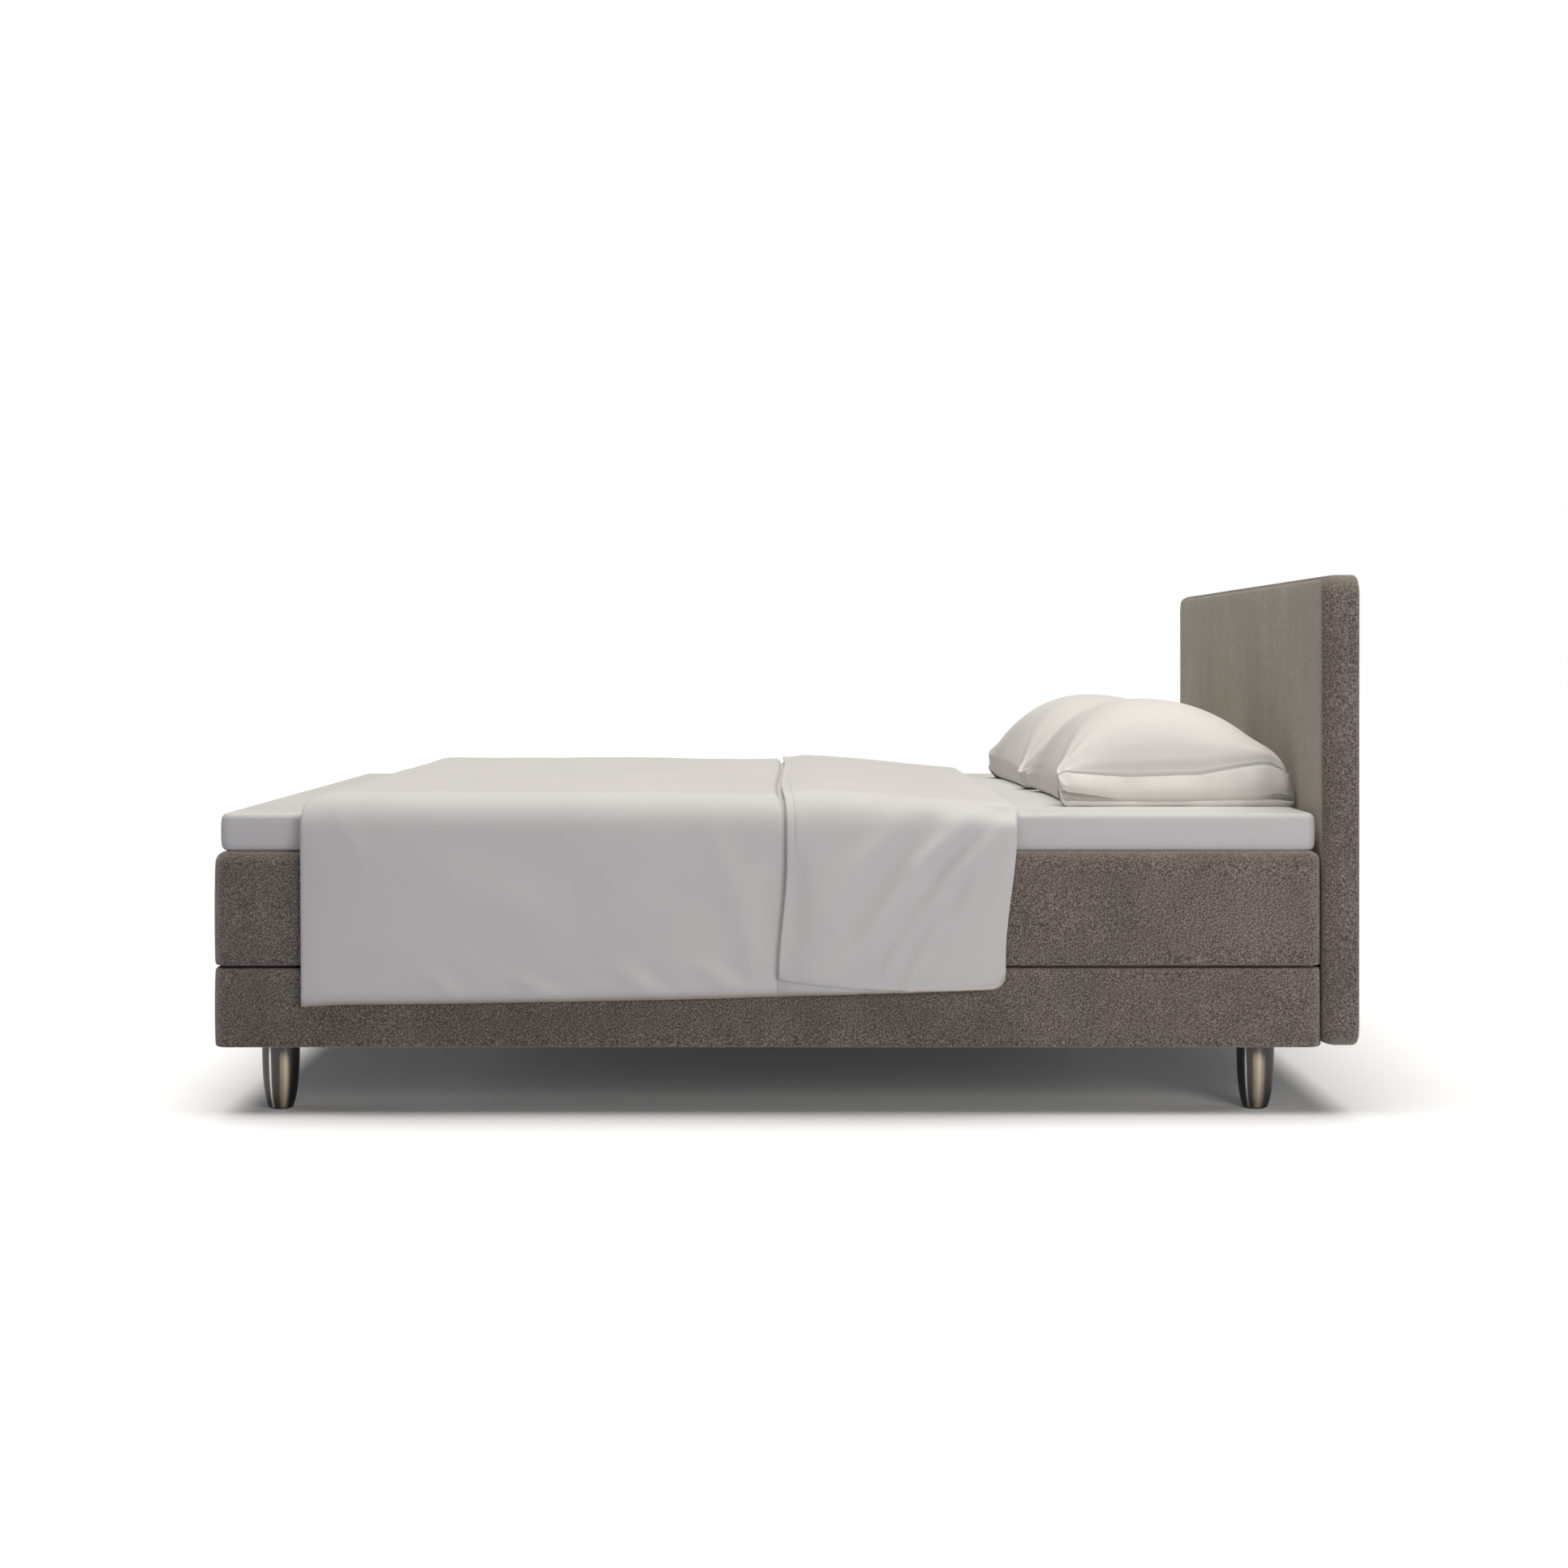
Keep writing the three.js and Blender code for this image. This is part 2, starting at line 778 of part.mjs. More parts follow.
const backOpeningLength = headboardHeight - 2 * headboardTurn;
const backOpeningWidth = boxWidth - 2 * headboardTurn;
const backOpeningCorner = headboardCorner - headboardBackEdge;
piece('headboard_cover', cut(
  headboardShell(0),
  headboardShell(headboardCoverThickness),
  stood(plate(
    headboardMiddle, 0, -overrun, headboardThickness / 2,
    backOpeningLength, backOpeningWidth, backOpeningCorner,
  )),
  ...headboardBoltHoles(),
), 'upholstery');

piece('headboard_back_cloth', stood(plate(
  headboardMiddle, 0, 0, backClothThickness,
  backOpeningLength - 2 * seatGap, backOpeningWidth - 2 * seatGap, backOpeningCorner - seatGap,
)), 'dustCloth');

// Behind the cover: timber frame at the back, then a board, then the foam pad
const coverInset = headboardCoverThickness + seatGap;
const timberBack = coverInset;
const timberFront = timberBack + uprightDepth;
const boardBack = timberFront + seatGap;
const boardFront = boardBack + boardThickness;
const padLength = headboardHeight - 2 * coverInset;
const padWidth = boxWidth - 2 * coverInset;
const padCorner = headboardCorner - coverInset;
const boltTip = timberFront - headboardBoltInUpright;

piece('headboard_pad', cut(
  stood(softBlock({
    x: headboardMiddle,
    y: 0,
    bottom: boardFront + seatGap,
    top: headboardThickness - coverInset,
    length: padLength - 2 * headboardFrontInset,
    width: padWidth - 2 * headboardFrontInset,
    corner: padCorner - headboardFrontInset,
    lower: edge(seatGap),
    upper: edge(headboardFrontInset / 2),
  })),
  ...headboardBoltHoles(),
), 'foam');

const boardInset = coverInset + headboardBackEdge;
const frameHeight = headboardHeight - 2 * boardInset;
const headboardFrameWidth = boxWidth - 2 * boardInset;
piece('headboard_board', cut(
  stood(plate(
    headboardMiddle, 0, boardBack, boardFront, frameHeight, headboardFrameWidth,
    headboardCorner - headboardBackEdge,
  )),
  ...headboardBoltHoles(),
), 'board');

// Two uprights carry the bolts, and two cross rails tie them together
function upright(name, sideSign) {
  const middle = sideSign * uprightOffset;
  piece(name, cut(
    stood(block(
      [boardInset + crossRailHeight + seatGap, middle - uprightWidth / 2, timberBack],
      [headboardHeight - boardInset - crossRailHeight - seatGap, middle + uprightWidth / 2, timberFront],
    )),
    ...headboardBolts.map(({ y, z }) => bar(
      headboardFrontX + headboardThickness - timberFront - overrun, y, z,
      headboardBoltRadius + boltGap, headboardBoltInUpright + overrun + seatGap, 'x',
    )),
  ), 'timber');
}

function crossRail(name, low) {
  const reach = headboardFrameWidth / 2 - headboardCorner;
  piece(name, stood(block(
    [low, -reach, timberBack],
    [low + crossRailHeight, reach, timberFront],
  )), 'timber');
}
upright('headboard_upright_near', -1);
upright('headboard_upright_far', 1);
crossRail('headboard_rail_bottom', boardInset);
crossRail('headboard_rail_top', headboardHeight - boardInset - crossRailHeight);

// Bolts from inside the lower box, through its head rail, into the uprights
const boltFace = boxMiddleX + innerLength / 2 - seatGap;
const boltEnd = headboardFrontX + headboardThickness - boltTip;
for (const { label, y, z } of headboardBolts) {
  piece(`headboard_bolt_${label}`, join(
    bar(boltFace - boltHeadHeight, y, z, boltHeadRadius, boltHeadHeight, 'x', 6),
    bar(boltFace - boltHeadHeight / 2, y, z, headboardBoltRadius, boltEnd - boltFace + boltHeadHeight / 2,
      'x'),
  ), 'steel');
}

// The duvet

// Blends smoothly from 0 to 1 between two values
function ease(value, start, end) {
  const share = Math.min(1, Math.max(0, (value - start) / (end - start)));
  return share * share * (3 - 2 * share);
}

// Skin of a thick cloth: two grids of [x, y, z] points, outer and inner, and their rim
function quilt(outer, inner) {
  const rows = outer.length;
  const columns = outer[0].length;
  const positions = [...outer, ...inner].flat(2);
  const at = (layer, row, column) => (layer * rows + row) * columns + column;
  const faces = [];
  for (let row = 0; row < rows - 1; row += 1) {
    for (let column = 0; column < columns - 1; column += 1) {
      const corners = [[0, 0], [1, 0], [1, 1], [0, 1]];
      const [a, b, c, d] = corners.map(([r, k]) => at(0, row + r, column + k));
      faces.push(a, b, c, a, c, d);
      const [e, f, g, h] = corners.map(([r, k]) => at(1, row + r, column + k));
      faces.push(e, g, f, e, h, g);
    }
  }
  const rim = [];
  for (let row = 0; row < rows - 1; row += 1) {
    rim.push([row, 0]);
  }
  for (let column = 0; column < columns - 1; column += 1) {
    rim.push([rows - 1, column]);
  }
  for (let row = rows - 1; row > 0; row -= 1) {
    rim.push([row, columns - 1]);
  }
  for (let column = columns - 1; column > 0; column -= 1) {
    rim.push([0, column]);
  }
  rim.forEach(([row, column], index) => {
    const [nextRow, nextColumn] = rim[(index + 1) % rim.length];
    const [a, b] = [at(0, row, column), at(0, nextRow, nextColumn)];
    const [c, d] = [at(1, nextRow, nextColumn), at(1, row, column)];
    faces.push(a, c, b, a, d, c);
  });
  const geometry = new THREE.BufferGeometry();
  geometry.setAttribute('position', new THREE.Float32BufferAttribute(positions, 3));
  geometry.setIndex(faces);
  return geometry;
}

// The duvet lies over the topper and hangs down both long sides. Its foot edge stays
// short of the bed's foot, and its head end is folded back over itself.
const duvetFootX = footX + duvetFootInset;
const duvetHeadX = headX - duvetHeadInset;
const foldBackX = duvetHeadX - foldBackLength;
const duvetUnder = topperTop + seatGap;
const flatHalf = topperWidth / 2 - topperEdge;
const hangY = boxWidth / 2 + drapeGap;
const shoulder = hangY - flatHalf;
const shoulderZ = duvetUnder - shoulder;

const bodyShares = [0, 0.012, 0.045, 0.2, 0.4, 0.6, 0.78, 0.92, 0.992];
const foldShares = [0, 0.03, 0.16, 0.34, 0.52, 0.7, 0.86, 0.95, 1];
const flatShares = [0, 0.26, 0.5, 0.72, 0.89, 1];
const shoulderShares = [1 / 3, 2 / 3, 1];
const hangShares = [0.14, 0.34, 0.55, 0.76, 0.97, 1];
const hangHemShare = 0.55;

const duvetStations = [
  ...bodyShares.map((share) => duvetFootX + share * (foldBackX - duvetFootX)),
  ...foldShares.map((share) => foldBackX + share * foldBackLength),
];

function hemHeight(x) {
  const along = (x - duvetFootX) / (duvetHeadX - duvetFootX);
  return hemHeightFoot + (hemHeightHead - hemHeightFoot) * along;
}

function foldHemHeight(x) {
  const along = ease(x, foldBackX, foldBackX + foldBackLength / 2);
  return hemHeight(x) + foldHemRise * (1 - along / 2);
}

// Points from the middle of the bed to one hem: place, outward direction, share hung
function drapePath(x) {
  const points = flatShares.map((share) => ({ y: flatHalf * share, z: duvetUnder, out: [0, 1], hung: 0 }));
  for (const share of shoulderShares) {
    const angle = share * Math.PI / 2;
    points.push({
      y: flatHalf + shoulder * Math.sin(angle),
      z: shoulderZ + shoulder * Math.cos(angle),
      out: [Math.sin(angle), Math.cos(angle)],
      hung: 0,
    });
  }
  const foldHem = foldHemHeight(x);
  const hem = hemHeight(x);
  const levels = [
    ...hangShares.slice(0, -2).map((share) => shoulderZ + (foldHem - shoulderZ) * share / hangShares[4]),
    foldHem,
    foldHem - duvetRim,
    hem + duvetRim * hangHemShare,
    hem,
  ];
  for (const z of levels) {
    points.push({ y: hangY, z, out: [1, 0], hung: (shoulderZ - z) / (shoulderZ - hem) });
  }
  return points;
}

// Thickness over the stations: full in the middle, thin at the rim, a step up where
// the folded-back end lies on top, and a long slope down to the fold itself
function duvetThickness(x, point, index, last) {
  const onSide = point.out[0];
  const loft = duvetLoft + (duvetSide - duvetLoft) * onSide;
  const footEase = Math.sqrt(ease(x, duvetFootX - duvetRim, duvetFootX + 2 * duvetLoft));
  const headEase = ease(duvetHeadX - x, 0, foldBackLength * foldShares[4]);
  const folded = x >= foldBackX && point.z >= foldHemHeight(x) - sameLevel ? foldBackLoft : 0;
  const dip = duvetWave * ease(x, foldBackX - foldBackLength / 2, foldBackX) * (folded ? 0 : 1);
  const along = (x - duvetFootX) / (duvetHeadX - duvetFootX);
  const wave = duvetWave * point.hung * Math.cos(along * duvetWaves * Math.PI);
  const whole = (loft + folded - dip) * footEase;
  const sloped = duvetHeadLoft + (whole - duvetHeadLoft) * Math.sqrt(headEase);
  const hemmed = index === last ? duvetRim : sloped + wave;
  return Math.max(duvetRim, hemmed);
}

function duvetRow(x, outerSide) {
  const half = drapePath(x);
  const last = half.length - 1;
  const side = half.map((point, index) => {
    const thickness = outerSide ? duvetThickness(x, point, index, last) : 0;
    const slant = ease(point.hung, 0, 1) * (
      x > foldBackX
        ? -headEdgeSlant * (x - foldBackX) / foldBackLength
        : footEdgeSlant * (foldBackX - x) / (foldBackX - duvetFootX)
    );
    return [x + slant, point.y + thickness * point.out[0], point.z + thickness * point.out[1]];
  });
  const mirrored = side.slice(1).reverse().map(([px, py, pz]) => [px, -py, pz]);
  return [...mirrored, ...side];
}

piece('duvet', quilt(
  duvetStations.map((x) => duvetRow(x, true)),
  duvetStations.map((x) => duvetRow(x, false)),
), 'bedLinen');

// The pillows

// A filled case: flat where it lies, crowned above, seams drawn in between its corners
const pillowUnder = topperTop + seatGap;
const acrossShares = [0, 0.03, 0.1, 0.22, 0.36, 0.5, 0.64, 0.78, 0.9, 0.97, 1];
const alongShares = [0, 0.02, 0.07, 0.15, 0.26, 0.38, 0.5, 0.62, 0.74, 0.85, 0.93, 0.98, 1];

// How full the case is between two seams: 1 in the middle and 0 at a seam
function fullness(place, { flatness, roundness }) {
  return Math.max(0, 1 - Math.abs(place) ** flatness) ** roundness;
}

function pillow(name, sideSign) {
  const middleX = headX - pillowHeadGap - pillowWidth / 2;
  const middleY = sideSign * (pillowGap / 2 + pillowLength / 2);
  const surface = (upper) => acrossShares.map((acrossShare) => alongShares.map((alongShare) => {
    const u = 2 * acrossShare - 1;
    const v = 2 * alongShare - 1;
    const bodyAcross = fullness(u, crownAcross);
    const bodyAlong = fullness(v, crownAlong);
    const crown = bodyAcross * bodyAlong;
    const endShare = u ** drawInPower;
    const sideShare = v ** drawInPower;
    const halfX = pillowWidth / 2 - pillowDrawIn * (1 - sideShare) * endShare;
    const halfY = pillowLength / 2 - pillowDrawIn * (1 - endShare) * sideShare;
    const seamZ = pillowUnder + pillowRim + pillowSeam * Math.max(bodyAcross, bodyAlong);
    const rimmed = upper ? pillowRim / 2 : -pillowRim / 2;
    const rise = upper ? (pillowLoft - pillowSeam) * crown : -pillowSeam * 2 * crown;
    return [
      middleX + u * halfX,
      middleY + v * halfY,
      Math.max(pillowUnder, seamZ + rimmed + rise),
    ];
  }));
  piece(name, quilt(surface(true), surface(false)), 'bedLinen');
}
pillow('pillow_near', -1);
pillow('pillow_far', 1);

export default bed;
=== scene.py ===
# %% [markdown]
# # Dressing a box spring bed
# The construction is already there: rails, springs, foam, legs and bolts come from the
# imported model. This lesson gives them their looks. Everything a person sees on such a bed
# is cloth or polished metal, so most of the work is soft: a felted cover pulled over two
# boxes and a headboard, a sheet, a draped duvet and two filled pillows.

# %% Load the frame
import json
import math

import bmesh
import bpy
import numpy as np
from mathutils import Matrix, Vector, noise
from mathutils.kdtree import KDTree


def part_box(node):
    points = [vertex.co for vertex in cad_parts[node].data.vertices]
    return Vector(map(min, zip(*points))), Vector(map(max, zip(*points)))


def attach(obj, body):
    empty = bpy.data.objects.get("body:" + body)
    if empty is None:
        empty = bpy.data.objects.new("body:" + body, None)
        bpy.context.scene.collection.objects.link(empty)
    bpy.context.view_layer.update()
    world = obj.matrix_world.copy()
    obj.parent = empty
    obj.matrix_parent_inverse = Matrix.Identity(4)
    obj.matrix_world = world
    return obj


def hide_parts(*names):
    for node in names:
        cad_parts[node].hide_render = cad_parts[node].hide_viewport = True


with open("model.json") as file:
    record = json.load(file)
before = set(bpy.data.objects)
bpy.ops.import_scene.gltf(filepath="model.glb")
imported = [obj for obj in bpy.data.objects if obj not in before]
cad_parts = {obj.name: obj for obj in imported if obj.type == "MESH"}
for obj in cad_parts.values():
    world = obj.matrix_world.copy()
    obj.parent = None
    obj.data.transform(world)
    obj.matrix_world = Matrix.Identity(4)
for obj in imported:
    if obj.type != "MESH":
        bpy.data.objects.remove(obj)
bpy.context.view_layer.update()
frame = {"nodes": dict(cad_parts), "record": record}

# %% [markdown]
# ## Camera
# The photograph looks straight at the long side from six metres away, a little above the
# pillows. Its upright edges are parallel, so the camera is level and the picture is moved
# down with a shift instead of a tilt. A long lens keeps the far side small but visible.

# %% Camera
camera_data = bpy.data.cameras.new("camera")
camera = bpy.data.objects.new("camera", camera_data)
bpy.context.scene.collection.objects.link(camera)
camera.location = (-0.0131, -5.992, 0.8353)
camera.rotation_euler = (math.radians(90), 0, -0.0016)
camera_data.sensor_width = 36
camera_data.lens = 63.78
camera_data.shift_y = -0.0795
bpy.context.scene.camera = camera

# %% [markdown]
# ## Lamps
# A studio shot on white: light falls mostly from above, slightly from the foot end, so
# level cloth is bright, upright cloth is a step darker, and the headboard's face is lit.
# One broad sun does this evenly over the whole floor, which an area lamp can't. A low fill
# beside the camera reaches the ends of the pillows. The other lamps light one thing each:
# a glow for the dark covers at their head end, a strip and a warm glow for the polished
# legs, which show nothing but what they reflect, and two washes for the floor's sides.

# %% Lamps
KEY_WARM, WHITE = (1.0, 0.975, 0.935), (1, 1, 1)
SUN_WIDTH = 58
# power, colour, location, rotation in degrees, and width and height, or None for the sun
LAMPS = {
    "key_light": (3.32, KEY_WARM, (0, 0, 3), (-3, -1.5, 0), None),
    "side_fill": (42, KEY_WARM, (1.8, -4.1, 1.2), (78.5, 0, 22), (1.6, 1.2)),
    "cover_glow": (20, KEY_WARM, (3.0, -2.7, 0.9), (84, 0, 50), (1.2, 0.8)),
    "leg_strip": (62, (0.92, 0.94, 1.0), (-4.2, -2.6, 0.6), (90, 0, -58), (0.34, 1.5)),
    "leg_glow": (190, (1.0, 0.88, 0.62), (1.9, -4.05, 1.5), (78, 0, 12), (5.2, 0.9)),
    "floor_wash_left": (42, WHITE, (-4.8, -0.3, 0.75), (90, 0, -90), (3.0, 1.1)),
    "floor_wash_right": (42, WHITE, (4.8, -0.3, 0.75), (90, 0, 90), (3.0, 1.1)),
}
lamps = {}
for name, (power, colour, location, rotation, size) in LAMPS.items():
    data = bpy.data.lights.new(name, "AREA" if size else "SUN")
    data.energy, data.color = power, colour
    if size:
        data.shape = "RECTANGLE"
        data.size, data.size_y = size
    else:
        data.angle = math.radians(SUN_WIDTH)
    lamp = lamps[name] = bpy.data.objects.new(name, data)
    lamp.location = location
    lamp.rotation_euler = [math.radians(angle) for angle in rotation]
    bpy.context.scene.collection.objects.link(lamp)
bpy.context.scene.view_settings.view_transform = "Standard"


def light_only(name, lamp_names, pieces):
    """Keeps the light of some lamps to some pieces."""
    lit = bpy.data.collections.new(name)
    for piece in pieces:
        lit.objects.link(piece)
    for lamp_name in lamp_names:
        lamps[lamp_name].light_linking.receiver_collection = lit


# %% [markdown]
# ## Shader groups
# Cloth is small geometry repeated. Where two cloths need the same effect, the effect is
# a node group with named sockets: `thread weave` for woven threads, `felted flecks` for
# the mottled cover, `soft tone` for the slow change of shade that makes cloth look real,
# and `timber grain` for wood. All of them work on object coordinates, because the pieces
# have no unwrapped surface, and three crossing sine waves show two on any flat side.
# A `Wire` is the output of a node. A sum written with wires becomes math nodes, so each
# effect can be read as a formula.

# %% Node helpers
class Wire:
    """A value that changes over the surface."""

    def __init__(self, node, output=0):
        self.socket, self.tree = node.outputs[output], node.id_data

    def math(self, operation, *others):
        node = put(self.tree, "Math", operation=operation)
        for socket, value in zip(node.inputs, (self, *others)):
            plug(socket, value)
        return Wire(node)

    def __add__(self, other):
        return self.math("ADD", other)

    def __sub__(self, other):
        return self.math("SUBTRACT", other)

    def __mul__(self, other):
        return self.math("MULTIPLY", other)

    def __truediv__(self, other):
        return self.math("DIVIDE", other)


def plug(socket, value):
    """Links a wire to a socket, or sets the socket to a fixed value."""
    if isinstance(value, Wire):
        value.tree.links.new(value.socket, socket)
    else:
        socket.default_value = value


def feed(node, **sockets):
    for label, value in sockets.items():
        plug(node.inputs[label.replace("_", " ")], value)
    return node


def put(tree, kind, **values):
    """A new node. Names with a capital are its sockets, the others its settings."""
    node = tree.nodes.new(f"ShaderNode{kind}")
    for label, value in values.items():
        if label[0].islower():
            setattr(node, label, value)
    return feed(node, **{label: value for label, value in values.items() if label[0].isupper()})


def object_place(tree):
    return Wire(put(tree, "TexCoord"), "Object")


def object_axes(tree):
    split = put(tree, "SeparateXYZ", Vector=object_place(tree))
    return [Wire(split, axis) for axis in "XYZ"]


def place_at(tree, x, y, z):
    return Wire(put(tree, "CombineXYZ", X=x, Y=y, Z=z))


def noise_at(place, **settings):
    return Wire(put(place.tree, "TexNoise", Vector=place, **settings))


def new_group(name, inputs, outputs):
    """An empty group, a wire from each of its inputs, and its output node."""
    group = bpy.data.node_groups.new(name, "ShaderNodeTree")
    for label, default in inputs.items():
        socket = group.interface.new_socket(label, in_out="INPUT", socket_type="NodeSocketFloat")
        socket.default_value = default
    for label in outputs:
        group.interface.new_socket(label, in_out="OUTPUT", socket_type="NodeSocketFloat")
    entry = group.nodes.new("NodeGroupInput")
    return group, [Wire(entry, label) for label in inputs], group.nodes.new("NodeGroupOutput")


# %% Thread weave
weave, (pitch, unevenness), group_out = new_group(
    "thread weave", {"Pitch": 0.001, "Unevenness": 0.3}, ["Height"],
)
waves = [(axis * math.tau / pitch).math("SINE") for axis in object_axes(weave)]
slubs = Wire(put(weave, "TexNoise", Scale=220.0, Detail=2.0))
feed(group_out, Height=waves[0] + waves[1] + waves[2] + slubs * unevenness)

# %% Felted flecks
# the flecks lie along slanting lines, and a contrast of 1 spreads the noise three times
NOISE_SPREAD, LINE_STRETCH = 3.0, 0.7
felt, (fleck_size, slant, contrast), group_out = new_group(
    "felted flecks", {"Fleck Size": 0.002, "Slant": 0.5, "Contrast": 1.0}, ["Fleck", "Height"],
)
x, y, z = object_axes(felt)
slanted = place_at(
    felt, (x + y + z) / fleck_size * LINE_STRETCH, (x - y - z) / fleck_size * slant, y / fleck_size,
)
yarn = noise_at(slanted, Scale=0.8, Detail=1.0, Roughness=0.5, Distortion=0.4)
feed(group_out, Fleck=(yarn - 0.5) * contrast * NOISE_SPREAD + 0.5, Height=yarn)

# %% Soft tone
tone, (patch_size, stretch), group_out = new_group(
    "soft tone", {"Patch Size": 0.3, "Upright Stretch": 1.0}, ["Tone"],
)
x, y, z = object_axes(tone)
patches = place_at(tone, x / patch_size, y / patch_size, z / patch_size / stretch)
feed(group_out, Tone=noise_at(patches, Scale=1.0, Detail=3.0))

# %% Timber grain
# rings cross a board slowly along it, and the scale of the wave is a share of their width
ALONG, ACROSS, RING_SCALE = 0.12, 0.35, 0.16
grain, (ring_width, fibre), group_out = new_group(
    "timber grain", {"Ring Width": 0.012, "Fibre": 0.4}, ["Grain"],
)
x, y, z = object_axes(grain)
long_grain = place_at(grain, x * ALONG, y * ACROSS, z)
rings = Wire(put(
    grain, "TexWave", bands_direction="Z", Vector=long_grain,
    Scale=ring_width.math("POWER", -1.0) * RING_SCALE, Distortion=5.0, Detail=3.0, Detail_Scale=1.5,
), "Fac")
fibres = noise_at(long_grain, Scale=260.0, Detail=4.0)
feed(group_out, Grain=rings + fibres * fibre)
print("groups:", [group.name for group in bpy.data.node_groups])

# %% [markdown]
# ## Materials
# Every material starts from a Principled BSDF. `sheen` is the light that stands in the
# fuzz of cloth when it is seen at a grazing angle: the felted cover has much of it, which
# is why the headboard's face looks lighter and calmer than its end.

# %% Material helpers
# noise keeps mostly between these values, so shades run from the one to the other
NOISE_LOW, NOISE_HIGH = 0.3, 0.7


def new_material(name, **sockets):
    material = bpy.data.materials.new(name)
    material.use_nodes = True
    tree = material.node_tree
    return material, tree, feed(tree.nodes["Principled BSDF"], **sockets)


def ramp(factor, *stops):
    """Colours that change with a wire, from stops of (position, colour)."""
    node = put(factor.tree, "ValToRGB", Fac=factor)
    elements = node.color_ramp.elements
    elements[0].position, elements[1].position = stops[0][0], stops[-1][0]
    for position, _ in stops[1:-1]:
        elements.new(position)
    for element, (_, colour) in zip(elements, stops):
        element.color = (*colour, 1)
    return Wire(node, "Color")


def spread(factor, low, high, start=NOISE_LOW, end=NOISE_HIGH):
    """Turns start to end of a wire into low to high."""
    return Wire(put(
        factor.tree, "MapRange", Value=factor, From_Min=start, From_Max=end, To_Min=low, To_Max=high,
    ))


def mix(factor, first, second, tree, **settings):
    node = put(tree, "Mix", data_type="RGBA", Factor=factor, A=first, B=second, **settings)
    return Wire(node, "Result")


def tint(colour, factor, low, high):
    """Multiplies a colour by a grey that runs from low to high with the factor."""
    return mix(1.0, colour, spread(factor, low, high), colour.tree, blend_type="MULTIPLY")


def attribute(tree, name):
    """A value that the mesh carries at its points. Where it has none, the value is 0."""
    return Wire(put(tree, "Attribute", attribute_name=name), "Fac")


def use_tone(tree, size, upright=1.0):
    return Wire(put(tree, "Group", node_tree=tone, Patch_Size=size, Upright_Stretch=upright))


def use_weave(tree, pitch, unevenness):
    return Wire(put(tree, "Group", node_tree=weave, Pitch=pitch, Unevenness=unevenness))


def raise_surface(shader, height, distance, strength=1.0):
    bump = put(height.tree, "Bump", Height=height, Distance=distance, Strength=strength)
    feed(shader, Normal=Wire(bump))


# %% Felted cover of the boxes and headboard
FLECK, PILE, FELT_SLANT = 0.0016, 0.010, 0.42
CLOUD, CLOUD_STRETCH, SHEEN_BAND_STRETCH = 0.13, 1.6, 2.2
# the felt's colour in the joints is multiplied by this: painted shade
JOINT_SHADE = 0.22


def felted_cover(name, sheen, contrast, sheen_band_width, *sheen_band_shades):
    """Taupe felt in fine flecks and slow clouds. Pile tufts and broad upright nap bands are
    mixed in only at a grazing angle: painted sheen. Where the boxes meet each other and the
    headboard the felt is darker and has no sheen: painted shade."""
    material, tree, shader = new_material(
        name, Roughness=0.95, Sheen_Roughness=0.55, Sheen_Tint=(0.93, 0.88, 0.76, 1),
        Specular_IOR_Level=0.12,
    )
    flecks, pile = (
        put(tree, "Group", node_tree=felt, Fleck_Size=size, Slant=FELT_SLANT, Contrast=strength)
        for size, strength in ((FLECK, contrast), (PILE, 0.7))
    )
    taupe = ramp(
        Wire(flecks, "Fleck"),
        (0.1, (0.044, 0.035, 0.029)), (0.5, (0.120, 0.098, 0.082)), (0.9, (0.26, 0.226, 0.195)),
    )
    clouded = tint(taupe, use_tone(tree, CLOUD, CLOUD_STRETCH), 0.84, 1.16)
    grazing_sheen_bands = tint(clouded, use_tone(tree, sheen_band_width, SHEEN_BAND_STRETCH), *sheen_band_shades)
    grazing_sheen_bands = tint(grazing_sheen_bands, Wire(pile, "Fleck"), 0.84, 1.16)
    # the bands and pile tufts show only at a grazing angle: painted sheen of the nap
    nap = mix(Wire(put(tree, "LayerWeight", Blend=0.5), "Facing"), clouded, grazing_sheen_bands, tree)
    painted_joint_shade = attribute(tree, "painted_joint_shade")
    # where the boxes meet, the colour is darker and the sheen is taken away: painted shade
    feed(shader, Base_Color=tint(nap, painted_joint_shade, 1.0, JOINT_SHADE), Sheen_Weight=spread(painted_joint_shade, sheen, 0.0))
    raise_surface(shader, Wire(flecks, "Height"), 0.0008, 0.7)
    return material


# the last three numbers are the width, darkest and lightest shade of the painted sheen bands
cover_cloth = felted_cover("felted_taupe_cover", 0.75, 0.85, 0.05, 0.93, 1.07)
headboard_felt = felted_cover("felted_taupe_headboard", 0.55, 0.68, 0.26, 0.60, 1.36)

# %% Cotton of the sheet, the duvet and the pillows
# the underside of the duvet's hem takes this beige: painted shade with warm light thrown up from the taupe
# cover
HEM_SHADE_BEIGE = (0.50, 0.435, 0.345)


